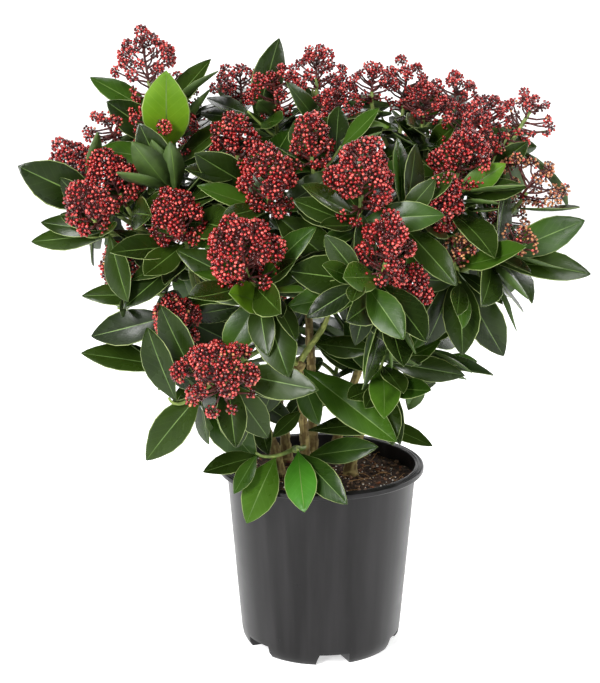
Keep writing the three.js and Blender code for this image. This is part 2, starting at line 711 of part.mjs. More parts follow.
// ---------------------------------------------------------------- leaves
// A blade bends in an arc away from its first way. One side follows the arc, and the other, on the
// inside of the bend, has six faces round a keel.
function leafGeometry({ root, way, face, length, width, arch }, from, extra) {
  const across = face.clone().cross(way).normalize();
  const spot = (along, aside, rise) => {
    const angle = (arch * along) / length;
    const forward = (Math.sin(angle) * length) / arch;
    const down = ((1 - Math.cos(angle)) * length) / arch;
    return root
      .clone()
      .addScaledVector(way, forward)
      .addScaledVector(face, rise - down)
      .addScaledVector(across, aside);
  };
  const half = width / 2 + extra;
  const keel = arch > 0 ? -1 : 1;
  const rise = -keel * extra;
  const corners = [
    spot(from, 0, rise),
    spot(length * 0.36, half * 0.76, rise),
    spot(length * 0.36, -half * 0.76, rise),
    spot(length * 0.68, half, rise),
    spot(length * 0.68, -half, rise),
    spot(length + extra, 0, rise),
    spot(length * 0.42, 0, keel * (leafSize.thick + extra)),
  ];
  const faces = [
    [0, 1, 2],
    [1, 4, 2],
    [1, 3, 4],
    [3, 5, 4],
    [1, 0, 6],
    [3, 1, 6],
    [5, 3, 6],
    [4, 5, 6],
    [2, 4, 6],
    [0, 2, 6],
  ];
  return indexed(corners, keel > 0 ? faces : faces.map(([a, b, c]) => [a, c, b]));
}

function boxOf(solid) {
  const { min, max } = solid.boundingBox();
  return new THREE.Box3(new THREE.Vector3(...min), new THREE.Vector3(...max));
}

const obstacles = [];

function keepClearOf(solid, mass, part) {
  obstacles.push({ solid, mass, part, box: boxOf(solid) });
}

function touches(solid, isKin) {
  const box = boxOf(solid);
  return obstacles.some((other) => {
    if (isKin(other) || !box.intersectsBox(other.box)) {
      return false;
    }
    const shared = solid.intersect(other.solid);
    const hit = !shared.isEmpty();
    shared.delete();
    return hit;
  });
}

function leafPlan(mass, shootNumber, shoot, number, count, attempt) {
  const random = seeded(22192 + mass.order * 997 + shootNumber * 101 + number * 11 + attempt * 7919);
  const share = number / (count - 1);
  const length = shoot.curve.getLength();
  const bearsHead = shoot.head !== null;
  const bare = bearsHead ? 5 + shoot.head.radius * shoot.head.tall * 0.25 : 1;
  const below = bare + share * Math.min(leafSize.whorl, length * 0.5);
  const along = Math.max(1 - below / length, 0.1);
  const axis = shoot.curve.getTangentAt(along);
  const root = shoot.curve.getPointAt(along);
  const side = new THREE.Vector3(root.x, root.y, 0);
  side.addScaledVector(axis, -side.dot(axis)).normalize();
  const spin = THREE.MathUtils.degToRad((number - 2) * 137.5 + random(-22, 22) + attempt * 31);
  const out = side.applyAxisAngle(axis, spin);
  const steep = bearsHead ? leafSize.steep : leafSize.steep - 16;
  const tilt = THREE.MathUtils.degToRad(steep + (leafSize.flat - steep) * share + random(-12, 12) + attempt * 2);
  const way = axis.clone().multiplyScalar(Math.cos(tilt)).addScaledVector(out, Math.sin(tilt)).normalize();
  const outwards = new THREE.Vector3(root.x, root.y, 0).normalize();
  const face = light.clone().addScaledVector(axis, 0.35).addScaledVector(outwards, 0.5);
  face.addScaledVector(way, -face.dot(way)).normalize();
  face.applyAxisAngle(way, random(-0.5, 0.5));
  const size = leafSize.short + (leafSize.long - leafSize.short) * (0.25 + 0.75 * share) * random(0.82, 1.12);
  const trimmed = size * (1 - Math.max(attempt - 4, 0) * 0.05);
  return {
    root,
    way,
    face,
    length: trimmed,
    width: trimmed * random(leafSize.slender, leafSize.broad),
    arch: random(...leafSize.arch) + share * leafSize.sag,
  };
}

function standingPlan(mass, number, { shoot, below, tip, broad, front }, attempt) {
  const random = seeded(7000 + mass.order * 61 + number * 13 + attempt * 7919);
  const { curve } = mass.shoots[shoot];
  const along = Math.max(1 - below / curve.getLength(), 0.1);
  const root = curve.getPointAt(along);
  const shift = attempt * 2;
  const end = placeAt(tip).add(new THREE.Vector3(random(-shift, shift), random(-shift, shift), random(-shift, shift)));
  const chord = end.sub(root);
  const length = chord.length() * (1 - attempt * 0.015);
  chord.normalize();
  const arch = random(0.1, 0.35);
  const outwards = new THREE.Vector3(root.x, root.y, 0).normalize();
  const flat = light.clone().addScaledVector(curve.getTangentAt(along), 0.35).addScaledVector(outwards, 0.5);
  flat.multiplyScalar(1 - front).addScaledVector(new THREE.Vector3(0, -1, 0.25), front);
  flat.addScaledVector(chord, -flat.dot(chord)).normalize().applyAxisAngle(chord, random(-0.2, 0.2));
  const way = chord.clone().multiplyScalar(Math.cos(arch / 2)).addScaledVector(flat, Math.sin(arch / 2));
  const face = flat.clone().multiplyScalar(Math.cos(arch / 2)).addScaledVector(chord, -Math.sin(arch / 2));
  return { root, way, face, length, width: length * broad, arch };
}

function insideCrown({ root, way, face, length, arch }) {
  const tip = root.clone().addScaledVector(way, length * Math.cos(arch / 2)).addScaledVector(face, -length * Math.sin(arch / 2));
  const next = Math.max(crownShape.findIndex(([height]) => height > tip.z), 1);
  const [[low, near], [high, far]] = [crownShape[next - 1], crownShape[next]];
  const reach = near + ((far - near) * (tip.z - low)) / (high - low);
  return Math.hypot(tip.x, tip.y) < reach;
}

// The first of a few tries whose leaf keeps clear of all that has grown is kept.
function growLeaf(mass, shootNumber, tries, bound, planOf) {
  const sameShoot = (other) => other.mass === mass.name && other.part === shootNumber;
  const sameMass = (other) => other.mass === mass.name;
  for (let attempt = 0; attempt < tries; attempt += 1) {
    const plan = planOf(attempt);
    if (bound && !insideCrown(plan)) {
      continue;
    }
    const probe = solidOf(leafGeometry(plan, leafSize.free, clearance.leaf));
    const leaf = solidOf(leafGeometry(plan, -leafSize.sunk, 0));
    if (!touches(probe, sameShoot) && !touches(leaf, sameMass)) {
      keepClearOf(leaf, mass.name, shootNumber);
      mass.leaves.push({ plan, solid: leaf, shootNumber });
      return;
    }
  }
}

function growStandingLeaves(mass) {
  mass.leaves = [];
  (standing[mass.name] ?? []).forEach((leaf, number) => {
    growLeaf(mass, leaf.shoot, leafSize.patience, false, (attempt) => standingPlan(mass, number, leaf, attempt));
  });
}

function growLeaves(mass) {
  mass.shoots.forEach((shoot, shootNumber) => {
    const count = leafSize.perShoot + (shoot.head ? 0 : 2);
    const first = mass.leaves.filter((leaf) => leaf.shootNumber === shootNumber).length;
    const [from, to] = mass.span;
    for (let number = Math.max(first, from); number < Math.min(count, to); number += 1) {
      growLeaf(mass, shootNumber, 10, true, (attempt) => leafPlan(mass, shootNumber, shoot, number, count, attempt));
    }
  });
}

// ---------------------------------------------------------------- the whole plant
const pot = makePot();
const soil = makeSoil();
growAllLimbs();

for (const mass of grownMasses) {
  mass.shoots.forEach((shoot) => {
    shoot.wood = solidOf(skin(shoot.rings, twigSize.sides));
    shoot.dome = shoot.head ? solidOf(headGeometry(shoot.head)) : null;
  });
}

keepClearOf(pot, "pot");
keepClearOf(soil, "soil");
Object.entries(limbs).forEach(([name, limb]) => keepClearOf(limb.solid, name));
for (const mass of grownMasses) {
  mass.shoots.forEach((shoot, i) => {
    keepClearOf(shoot.wood, mass.name, i);
    if (shoot.dome) {
      keepClearOf(shoot.dome, mass.name, "head");
    }
  });
}
grownMasses.forEach(growStandingLeaves);
grownMasses.forEach(growLeaves);

const plant = new THREE.Group();
plant.name = "potted_skimmia";
plant.add(meshOf(pot, paint.pot, "pot"));
plant.add(meshOf(soil, paint.soil, "soil"));
for (const [name, limb] of Object.entries(limbs)) {
  plant.add(meshOf(limb.solid, name in stems ? paint.stem : paint.bough, name));
}
for (const mass of grownMasses) {
  const parts = mass.shoots.flatMap((shoot) => (shoot.dome ? [shoot.wood, shoot.dome] : [shoot.wood]));
  mass.leaves.forEach((leaf) => parts.push(leaf.solid));
  const whole = wholePiece(wasm.Manifold.union(parts));
  plant.add(meshOf(whole, paint.foliage, mass.name));
}

export default plant;
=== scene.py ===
from math import acos, ceil, copysign, cos, hypot, inf, pi, radians, sin, sqrt

import bmesh
import bpy
import numpy as np
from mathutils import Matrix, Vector, noise
from mathutils.bvhtree import BVHTree
from numpy.linalg import norm


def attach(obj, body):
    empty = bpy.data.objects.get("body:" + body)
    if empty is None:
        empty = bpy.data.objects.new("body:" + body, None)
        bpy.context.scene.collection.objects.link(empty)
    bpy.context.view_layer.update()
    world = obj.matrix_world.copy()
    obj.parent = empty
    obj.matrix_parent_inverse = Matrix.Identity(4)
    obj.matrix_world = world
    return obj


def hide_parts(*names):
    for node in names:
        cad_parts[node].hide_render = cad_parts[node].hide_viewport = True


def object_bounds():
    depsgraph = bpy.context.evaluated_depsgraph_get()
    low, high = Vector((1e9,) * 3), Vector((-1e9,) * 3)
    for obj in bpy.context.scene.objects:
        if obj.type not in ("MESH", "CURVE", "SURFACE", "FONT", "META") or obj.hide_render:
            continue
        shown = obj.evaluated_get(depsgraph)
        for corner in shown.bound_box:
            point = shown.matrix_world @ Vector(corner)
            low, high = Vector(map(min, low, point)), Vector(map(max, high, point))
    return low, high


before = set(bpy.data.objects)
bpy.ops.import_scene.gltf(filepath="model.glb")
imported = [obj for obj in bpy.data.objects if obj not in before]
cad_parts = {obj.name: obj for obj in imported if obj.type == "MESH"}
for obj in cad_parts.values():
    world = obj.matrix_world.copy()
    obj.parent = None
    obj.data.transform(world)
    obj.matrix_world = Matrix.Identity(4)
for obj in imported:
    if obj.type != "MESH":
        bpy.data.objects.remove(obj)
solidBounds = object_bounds()
print("frame loaded:", len(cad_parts), "solids")

mm = 0.001
up = np.array([0.0, 0.0, 1.0])


# Tools for meshes

def closeMesh():
    bpy.ops.object.mode_set(mode="OBJECT")


def openMesh(kind="VERT", action="SELECT"):
    bpy.ops.object.mode_set(mode="EDIT")
    bpy.ops.mesh.select_mode(type=kind)
    bpy.ops.mesh.select_all(action=action)


def clearSelection():
    if bpy.context.object and bpy.context.object.mode != "OBJECT":
        closeMesh()
    bpy.ops.object.select_all(action="DESELECT")


def pickOnly(*objects):
    clearSelection()
    for obj in objects:
        obj.select_set(True)
    bpy.context.view_layer.objects.active = objects[0]


def joinAll(objects):
    pickOnly(*objects)
    bpy.ops.object.join()
    return bpy.context.object


def shapeFrom(kind, **settings):
    clearSelection()
    getattr(bpy.ops.mesh, "primitive_" + kind + "_add")(**settings)
    return bpy.context.object


def stretch(value, centre=(0, 0, 0)):
    bpy.ops.transform.resize(value=value, center_override=centre)


def lathe(name, steps, profile):
    # a disc whose edge is drawn out along a profile of (radius, height); edit mode stays on
    disc = shapeFrom("circle", vertices=steps, radius=profile[0][0] * mm, fill_type="NGON")
    disc.name = name
    openMesh("EDGE")
    for (near, low), (far, high) in zip(profile, profile[1:]):
        bpy.ops.mesh.extrude_edges_move(TRANSFORM_OT_translate={"value": (0, 0, (high - low) * mm)})
        stretch((far / near, far / near, 1), (0, 0, high * mm))
    return disc


def show(name, data):
    obj = bpy.data.objects.new(name, data)
    bpy.context.scene.collection.objects.link(obj)
    return obj


def settle(obj):
    # the place goes into the mesh, and the object stays at the origin
    pickOnly(obj)
    bpy.ops.object.transform_apply(location=True, rotation=True, scale=True)
    return obj


def addModifier(obj, kind, **settings):
    pickOnly(obj)
    modifier = obj.modifiers.new(kind.lower(), kind)
    for name, value in settings.items():
        setattr(modifier, name, value)
    bpy.ops.object.modifier_apply(modifier=modifier.name)


def pickCorners(obj, test):
    # edit mode, with the corners that pass the test selected
    pickOnly(obj)
    openMesh(action="DESELECT")
    form = bmesh.from_edit_mesh(obj.data)
    for corner in form.verts:
        corner.select = test(corner)
    form.select_flush_mode()
    bmesh.update_edit_mesh(obj.data)


def templateOf(obj):
    # a finished small mesh as arrays, ready to be copied many times; the object itself goes
    mesh = obj.data
    corners = np.zeros(len(mesh.vertices) * 3)
    mesh.vertices.foreach_get("co", corners)
    loops = np.zeros(len(mesh.loops), dtype=np.int64)
    mesh.loops.foreach_get("vertex_index", loops)
    sizes = np.array([len(face.vertices) for face in mesh.polygons])
    slots = np.array([face.material_index for face in mesh.polygons])
    bpy.data.objects.remove(obj)
    return {"corners": corners.reshape(-1, 3), "loops": loops, "sizes": sizes, "slots": slots}


class Bundle:
    # many small shapes joined into one mesh
    keys = ("corners", "loops", "sizes", "slots", "uv", "tone")

    def __init__(self):
        self.parts = {key: [] for key in self.keys}
        self.count = 0

    def add(self, corners, loops, sizes, slots, uv=None, tone=None):
        uv = np.zeros((len(loops), 2)) if uv is None else uv
        tone = np.full(len(corners), 0.5) if tone is None else tone
        for key, part in zip(self.keys, (corners, loops + self.count, sizes, slots, uv, tone)):
            self.parts[key].append(part)
        self.count += len(corners)

    def addCopies(self, template, corners, slots, uv=None, tones=None):
        # corners: copies x corners x 3; slots: copies x faces
        copies, size = corners.shape[:2]
        self.add(
            corners.reshape(-1, 3),
            (template["loops"][None, :] + np.arange(copies)[:, None] * size).ravel(),
            np.tile(template["sizes"], copies),
            slots.ravel(),
            None if uv is None else np.tile(uv[template["loops"]], (copies, 1)),
            None if tones is None else np.repeat(tones, size),
        )

    def piece(self, name, materials):
        corners, loops, sizes, slots, uv, tone = (np.concatenate(self.parts[key]) for key in self.keys)
        mesh = bpy.data.meshes.new(name)
        mesh.vertices.add(len(corners))
        mesh.loops.add(len(loops))
        mesh.polygons.add(len(sizes))
        starts = np.concatenate([[0], np.cumsum(sizes)[:-1]])

        def fill(rows, key, values, kind=np.int32):
            rows.foreach_set(key, values.astype(kind).ravel())

        fill(mesh.vertices, "co", corners * mm, np.float32)
        fill(mesh.loops, "vertex_index", loops)
        fill(mesh.polygons, "loop_start", starts)
        fill(mesh.polygons, "material_index", slots)
        fill(mesh.uv_layers.new(name="UVMap").data, "uv", uv, np.float32)
        fill(mesh.attributes.new("tone", "FLOAT", "POINT").data, "value", tone, np.float32)
        mesh.update(calc_edges=True)
        mesh.validate()
        mesh.shade_smooth()
        for material in materials:
            mesh.materials.append(material)
        return show(name, mesh)


# Tools for materials

def linearColour(hexText):
    parts = [int(hexText[i : i + 2], 16) / 255 for i in (1, 3, 5)]
    return [p / 12.92 if p <= 0.04045 else ((p + 0.055) / 1.055) ** 2.4 for p in parts] + [1.0]


def addNode(tree, kind, inputs, stops=(), **settings):
    # inputs are given by name, or in a row; a node given as an input stands for its first output
    node = tree.nodes.new("ShaderNode" + kind)
    for name, value in settings.items():
        setattr(node, name, value)
    for name, value in inputs.items() if isinstance(inputs, dict) else enumerate(inputs):
        if isinstance(value, bpy.types.Node):
            value = value.outputs[0]
        if isinstance(value, bpy.types.NodeSocket):
            tree.links.new(value, node.inputs[name])
        else:
            node.inputs[name].default_value = value
    for i, (place, colour) in enumerate(stops):
        node.color_ramp.elements[i].position = place
        node.color_ramp.elements[i].color = linearColour(colour)
    return node


def withTone(tree, source):
    # half the noise, and half the tone that the mesh holds at each corner
    tone = addNode(tree, "Attribute", {}, attribute_name="tone").outputs["Fac"]
    total = addNode(tree, "Math", (source, tone), operation="ADD")
    return addNode(tree, "Math", (total, 0.5), operation="MULTIPLY")


def newMaterial(name):
    material = bpy.data.materials.new(name)
    material.use_nodes = True
    tree = material.node_tree
    tree.nodes.clear()
    return material, tree, addNode(tree, "TexCoord", {}).outputs


def shade(tree, colour, roughness, bump, more):
    inputs = {"Base Color": colour, "Roughness": roughness, "Normal": bump, **more}
    addNode(tree, "OutputMaterial", {"Surface": addNode(tree, "BsdfPrincipled", inputs)})


# The growing rule: the sizes of limbs and leaves, in millimetres and degrees.

stemSize = {"foot": 5.6, "flare": 3.2, "flareHeight": 16, "tip": 4.2, "knob": 7, "sides": 8, "rings": 5}
boughSize = {"foot": 3.3, "tip": 2.7, "knob": 4.6, "sides": 5, "rings": 4}
twigSize = {"foot": 2.5, "fork": 2.6, "tip": 2.4, "bud": 1.2, "sides": 3}
leafSize = {
    "short": 60, "long": 98, "slender": 0.36, "broad": 0.47, "thick": 2.2, "steep": 48, "flat": 88,
    "arch": (-0.5, 0.15), "sag": 0.7, "sunk": 1.2, "free": 6, "perShoot": 6, "patience": 14, "whorl": 38,
    "turn": 137.5,
}
clearance = {"joint": 0.3, "limb": 0.6, "leaf": 0.9}
soilTop = 174
light = np.array([0.0, -0.45, 0.55])

# Each stem rises from its foot (x, y) in the soil to the fork where its boughs part (x, y, z).
stems = {
    "stem_left": ((-44, 2), (-88, -8, 292)),
    "stem_front": ((-16, -22), (-23, -58, 304)),
    "stem_middle": ((-8, 18), (-14, 22, 350)),
    "stem_right": ((30, 2), (74, -16, 296)),
    "stem_back_left": ((-36, 44), (-58, 86, 300)),
    "stem_back_right": ((16, 46), (52, 86, 306)),
}

# Each bough leaves the fork of its stem, so far along the way to its two masses. A mass: its lead head's
# turn, distance out and height; the second head's bearing, spread and drop; the heads; the lead head's
# radius; its height over its width; the lean; and the kind of head.
boughs = {
    "bough_left_high": ("stem_left", 0.4, {
        "mass_peak_left": ((-93, 171, 586), (30, 36, 58), 3, 29, 1.15, 0.15, "open"),
        "mass_shoulder_left": ((-76, 203, 478), (-132, 57, -12), 3, 29, 0.85, 0.5, "full"),
    }),
    "bough_left_low": ("stem_left", 0.42, {
        "mass_side_left": ((-73, 200, 412), (50, 72, 52), 2, 25, 0.85, 0.6, "small"),
        "mass_front_left": ((-50, 173, 453), (-170, 58, -25), 1, 25, 0.9, 0.4, "full"),
    }),
    "bough_front_left": ("stem_front", 0.42, {
        "mass_foot_left": ((-28, 204, 326), (-100, 42, 24), 1, 34, 0.7, 0.55, "loose"),
        "mass_front_low": ((-24, 175, 427), (150, 78, 24), 2, 34, 0.8, 0.35, "full"),
    }),
    "bough_front_right": ("stem_front", 0.42, {
        "mass_front_right": ((20, 160, 430), (144, 34, 48), 2, 28, 0.95, 0.35, "full"),
        "mass_front_mid": ((16, 124, 488), (100, 45, 20), 1, 31, 1.0, 0.25, "full"),
    }),
    "bough_middle_front": ("stem_middle", 0.4, {
        "mass_front_upper_left": ((-25, 121, 485), (-152, 66, -30), 2, 27, 1.0, 0.2, "full"),
        "mass_front_upper": ((-9, 72, 517), (62, 44, 56), 2, 22, 1.0, 0.15, "full"),
    }),
    "bough_middle_top": ("stem_middle", 0.4, {
        "mass_top_left": ((-131, 62, 558), (-138, 53, -6), 2, 25, 1.0, 0.1, "open"),
        "mass_top_middle": ((-173, 71, 580), (23, 54, 28), 3, 25, 1.1, 0.1, "open"),
    }),
    "bough_right_high": ("stem_right", 0.42, {
        "mass_front_upper_right": ((69, 139, 498), (-31, 46, 35), 2, 27, 0.9, 0.3, "full"),
        "mass_peak_right": ((97, 212, 550), (-70, 27, 28), 2, 21, 0.9, 0.6, "sparse"),
    }),
    "bough_right_low": ("stem_right", 0.45, {
        "mass_side_right": ((84, 203, 474), (-132, 50, 24), 2, 32, 0.65, 0.6, "tan"),
        "mass_low_right": ((53, 149, 424), (107, 68, -4), 2, 17, 0.8, 0.6, "tan"),
    }),
    "bough_back_left": ("stem_back_left", 0.42, {
        "mass_back_left": ((-136, 186, 500), (-60, 58, 10), 3, 27, 0.9, 0.35, "full"),
        "mass_back_low_left": ((-120, 212, 415), (170, 60, 10), 2, 26, 0.8, 0.6, "full"),
    }),
    "bough_back_middle": ("stem_back_left", 0.42, {
        "mass_back_middle": ((178, 176, 512), (-90, 58, 6), 3, 28, 0.9, 0.3, "full"),
        "mass_back_low": ((-172, 205, 415), (90, 64, 6), 2, 27, 0.8, 0.6, "full"),
    }),
    "bough_back_right_high": ("stem_back_right", 0.42, {
        "mass_top_right": ((136, 125, 563), (-57, 54, 0), 3, 24, 1.1, 0.13, "open"),
        "mass_shoulder_right": ((115, 139, 560), (17, 52, 33), 3, 25, 1.0, 0.2, "open"),
    }),
    "bough_back_right_low": ("stem_back_right", 0.42, {
        "mass_back_right": ((138, 200, 496), (-150, 58, 12), 3, 27, 0.9, 0.4, "full"),
        "mass_back_low_right": ((122, 214, 412), (-160, 62, 8), 2, 26, 0.8, 0.6, "full"),
    }),
}

# A skirt: its stem; the height where it leaves it; its tip; its second shoot; and the lean.
skirtPlans = {
    "skirt_front": ("stem_front", 214, (-17, 82, 226), (-80, 40, 2), 1.1),
    "skirt_right": ("stem_right", 236, (42, 92, 318), (128, 52, -10), 0.8),
    "skirt_left": ("stem_left", 232, (-72, 150, 300), (160, 60, 0), 0.9),
    "skirt_back": ("stem_back_right", 230, (160, 120, 300), (-100, 70, 4), 0.9),
}

# Which of a shoot's leaves these masses bear, from the top one down.
leafSpans = {
    "mass_peak_right": (4, 6), "mass_front_right": (0, 5), "skirt_front": (6, 6), "skirt_right": (0, 5),
}

# How far out from the pot's axis the leaves reach at a height: (height, distance).
crownShape = (
    (190, 112), (250, 160), (300, 190), (350, 215), (400, 240), (450, 265), (500, 270), (540, 235),
    (580, 205), (620, 190),
)

# Leaves that stand clear of the crown or hang over the rim: the shoot; how far below its end; the tip as
# turn, distance out and height; the width over the length; and how far the face is turned to the front.
standing = {
    "mass_peak_left": (
        (0, 34, (-98, 233, 584), 0.36, 0.6), (0, 40, (-92, 114, 597), 0.46, 0.7),
        (0, 62, (-86, 206, 551), 0.5, 0.9),
    ),
    "mass_shoulder_left": (
        (1, 40, (-81, 293, 497), 0.5, 0.9), (2, 24, (-76, 271, 442), 0.34, 0.5),
        (2, 40, (-81, 280, 420), 0.3, 0.2),
    ),
    "mass_side_left": ((0, 40, (-72, 237, 373), 0.34, 0.4), (1, 30, (-73, 228, 332), 0.42, 0.6)),
    "mass_front_left": ((1, 10, (-69, 184, 532), 0.48, 1), (0, 36, (-57, 206, 395), 0.34, 0.3)),
    "mass_foot_left": (
        (1, 40, (-42, 238, 250), 0.44, 0.9), (0, 26, (-23, 206, 263), 0.44, 0.8),
        (0, 42, (-7, 161, 299), 0.34, 0.5),
    ),
    "mass_front_low": (
        (0, 40, (-48, 175, 426), 0.36, 0.6), (1, 40, (9, 119, 380), 0.36, 0.6),
        (1, 42, (-35, 148, 386), 0.42, 0.9),
    ),
    "mass_front_right": ((0, 40, (15, 130, 458), 0.32, 1), (1, 40, (23, 145, 344), 0.5, 0.9)),
    "mass_front_mid": ((1, 22, (41, 150, 488), 0.44, 0.8),),
    "mass_front_upper_left": ((1, 36, (-61, 161, 515), 0.5, 1),),
    "mass_top_left": ((1, 40, (-147, 100, 616), 0.38, 1),),
    "mass_low_right": (
        (1, 26, (83, 249, 447), 0.36, 0.9), (1, 34, (80, 258, 394), 0.32, 0),
        (0, 38, (63, 189, 371), 0.36, 0.5), (0, 44, (72, 179, 312), 0.44, 0.6),
    ),
    "skirt_front": (
        (1, 8, (-49, 150, 211), 0.44, 0.5), (1, 26, (-33, 134, 165), 0.5, 0.8),
        (1, 2, (-37, 140, 193), 0.4, 0.8), (0, 4, (-8, 129, 181), 0.5, 0.9),
        (0, 10, (10, 124, 187), 0.38, 0.8),
    ),
    "skirt_right": (
        (0, 30, (40, 113, 234), 0.34, 0.8), (0, 12, (59, 155, 299), 0.34, 0.6),
        (1, 30, (54, 103, 265), 0.34, 0.6),
    ),
    "skirt_left": ((0, 3, (-76, 237, 315), 0.36, 0.4), (0, 26, (-67, 181, 337), 0.4, 0.8)),
}

# More leaves given in the same way, each with its age: 0 old, 1 grown, 2 young and yellow-green, 3 fresh.
extraLeaves = {
    "mass_peak_left": ((1, 14, (-63, 164, 580), 0.5, 1, 2),),
    "mass_front_upper_right": ((0, 24, (73, 179, 494), 0.42, 0.8, 2),),
    "mass_top_middle": ((1, 24, (94, 64, 527), 0.32, 0.7, 2), (1, 30, (-60, 39, 569), 0.3, 0.8, 1)),
    "mass_shoulder_right": ((0, 42, (90, 129, 530), 0.4, 0.7, 0), (0, 30, (84, 71, 533), 0.42, 0.6, 0)),
    "mass_top_right": ((0, 52, (100, 119, 508), 0.4, 0.7, 1),),
    "mass_front_low": ((0, 60, (-23, 207, 402), 0.38, 0.9, 2),),
    "mass_front_right": ((1, 44, (6, 129, 409), 0.36, 0.8, 2),),
    "mass_peak_right": ((1, 36, (89, 198, 514), 0.5, 0.8, 0), (1, 50, (81, 184, 464), 0.42, 0.6, 0)),
}
# Leaves on the limbs round the front fork: share along the limb, tip, width, front, age.
limbLeaves = {
    "stem_front": (
        (0.93, (-2, 92, 255), 0.46, 0.7, 1), (0.99, (33, 125, 245), 0.34, 0.6, 1),
        (0.8, (-38, 117, 290), 0.4, 0.6, 0), (0.42, (61, 82, 243), 0.3, 0.3, 0),
        (0.62, (-35, 81, 233), 0.4, 0.6, 0), (0.2, (40, 81, 219), 0.36, 0.4, 1),
    ),
    "bough_front_left": ((0.3, (-40, 91, 260), 0.42, 0.6, 0),),
    "bough_front_right": ((0.3, (26, 103, 325), 0.4, 0.7, 0),),
    "stem_left": ((0.75, (-90, 30, 228), 0.42, 0.5, 0), (0.55, (-50, 70, 210), 0.4, 0.6, 0)),
    "stem_right": ((0.5, (75, 113, 214), 0.3, 0.4, 0),),
    "stem_middle": (
        (0.62, (115, 33, 235), 0.42, 0.5, 0), (0.85, (122, 37, 278), 0.4, 0.5, 0),
        (0.4, (90, 29, 262), 0.42, 0.4, 0), (0.5, (-105, 39, 225), 0.42, 0.4, 0),
    ),
    "stem_back_left": ((0.4, (-126, 102, 226), 0.42, 0.3, 0), (0.6, (178, 60, 237), 0.42, 0.3, 0)),
    "stem_back_right": ((0.4, (128, 97, 210), 0.42, 0.3, 0), (0.55, (-173, 71, 225), 0.42, 0.3, 0)),
}
# Balls in which no leaf of the rule may lie, so that the fork and the air round the low right show: the
# place and the radius of each.
openings = (
    ((-9, 113, 339), 52), ((73, 137, 256), 38), ((77, 176, 327), 30), ((98, 140, 239), 38),
    ((96, 181, 313), 30), ((119, 166, 223), 38), ((113, 206, 300), 30), ((132, 207, 206), 38),
    ((125, 243, 287), 30),
)
# Ages of single standing leaves, by their number.
standingAges = {
    "mass_front_low": {2: 2}, "skirt_front": {3: 3}, "mass_shoulder_left": {0: 0}, "mass_foot_left": {0: 0},
}


def seeded(seed):
    state = [(seed * 2654435 + 12345) % 4294967296]

    def draw(low, high):
        state[0] = (state[0] * 1664525 + 1013904223) % 4294967296
        return low + (high - low) * state[0] / 4294967296

    return draw


def unit(v):
    return v / norm(v)


def turned(v, axis, angle):
    c, s = cos(angle), sin(angle)
    return v * c + np.cross(axis, v) * s + axis * np.dot(axis, v) * (1 - c)


def across(v, axis):
    # what is left of v square to the axis
    return unit(v - axis * np.dot(v, axis))


def bearing(turn):
    return np.array([sin(radians(turn)), -cos(radians(turn)), 0.0])


def placeAt(spot):
    return bearing(spot[0]) * spot[1] + up * spot[2]


def level(place):
    return np.array([place[0], place[1], 0.0])


def outward(place, lean):
    return unit(unit(level(place)) * lean + up)


def shifted(place, random, shift):
    return place + np.array([random(-shift, shift), random(-shift, shift), random(-shift, shift)])


class Bend:
    # a smooth limb line from one point and way to another, read by its length
    def __init__(self, start, startWay, end, endWay):
        pull = norm(end - start) * 0.36
        self.handles = np.array([start, start + startWay * pull, end - endWay * pull, end])
        self.steps = np.linspace(0, 1, 201)
        hops = norm(np.diff(self.spots(self.steps), axis=0), axis=1)
        self.travelled = np.concatenate([[0], np.cumsum(hops)])
        self.length = self.travelled[-1]

    def spots(self, t):
        t = np.atleast_1d(np.asarray(t, float))[:, None]
        a, b, c, d = self.handles
        return a * (1 - t) ** 3 + 3 * b * t * (1 - t) ** 2 + 3 * c * t**2 * (1 - t) + d * t**3

    def at(self, share):
        return self.spots(np.interp(share * self.length, self.travelled, self.steps))[0]

    def wayAt(self, share):
        t = np.interp(share * self.length, self.travelled, self.steps)
        low, high = self.spots(np.clip([t - 0.0001, t + 0.0001], 0, 1))
        return unit(high - low)


def ringsOn(curve, stops):
    # stops are (millimetres along, radius); a stop past the end runs straight on
    rings = []
    for along, radius in stops:
        share = min(along / curve.length, 1)
        way = curve.wayAt(share)
        rings.append((curve.at(share) + way * max(along - curve.length, 0), way, radius))
    return rings


def limbStops(curve, rings, foot, tip, ending=0):
    shares = [i / (rings - 1) for i in range(rings)]
    return [[share * (curve.length + ending), foot + (tip - foot) * share] for share in shares]


def forkedStops(curve, size):
    # the radii of a limb that ends in a swollen fork with a short pruned end
    length, knob = curve.length, size["knob"]
    return limbStops(curve, size["rings"], size["foot"], size["tip"], -knob * 1.3) + [
        [length - knob * 0.62, knob * 0.8],
        [length, knob],
        [length + knob * 0.62, knob * 0.8],
        [length + knob * 0.92, knob * 0.42],
    ]


def spokes(side, way, sides):
    # the ways out from the middle of a limb to the corners of one ring
    other = np.cross(way, side)
    angles = [2 * pi * k / sides for k in range(sides)]
    return [side * cos(angle) + other * sin(angle) for angle in angles]


def tubeFaces(rings, sides):
    faces = []
    for a in range((rings - 1) * sides):
        b = a + 1 if (a + 1) % sides else a + 1 - sides
        faces.append((a, b, b + sides, a + sides))
    last = (rings - 1) * sides
    return faces + [tuple(range(sides - 1, -1, -1)), tuple(range(last, last + sides))]


def skin(rings, sides):
    corners, side = [], np.array([1, 0.1, 0])
    for centre, way, radius in rings:
        side = across(side, way)
        corners += [centre + spoke * radius for spoke in spokes(side, way, sides)]
    return corners, tubeFaces(len(rings), sides)


def treeOf(corners, faces):
    return BVHTree.FromPolygons([Vector(c) for c in corners], faces)


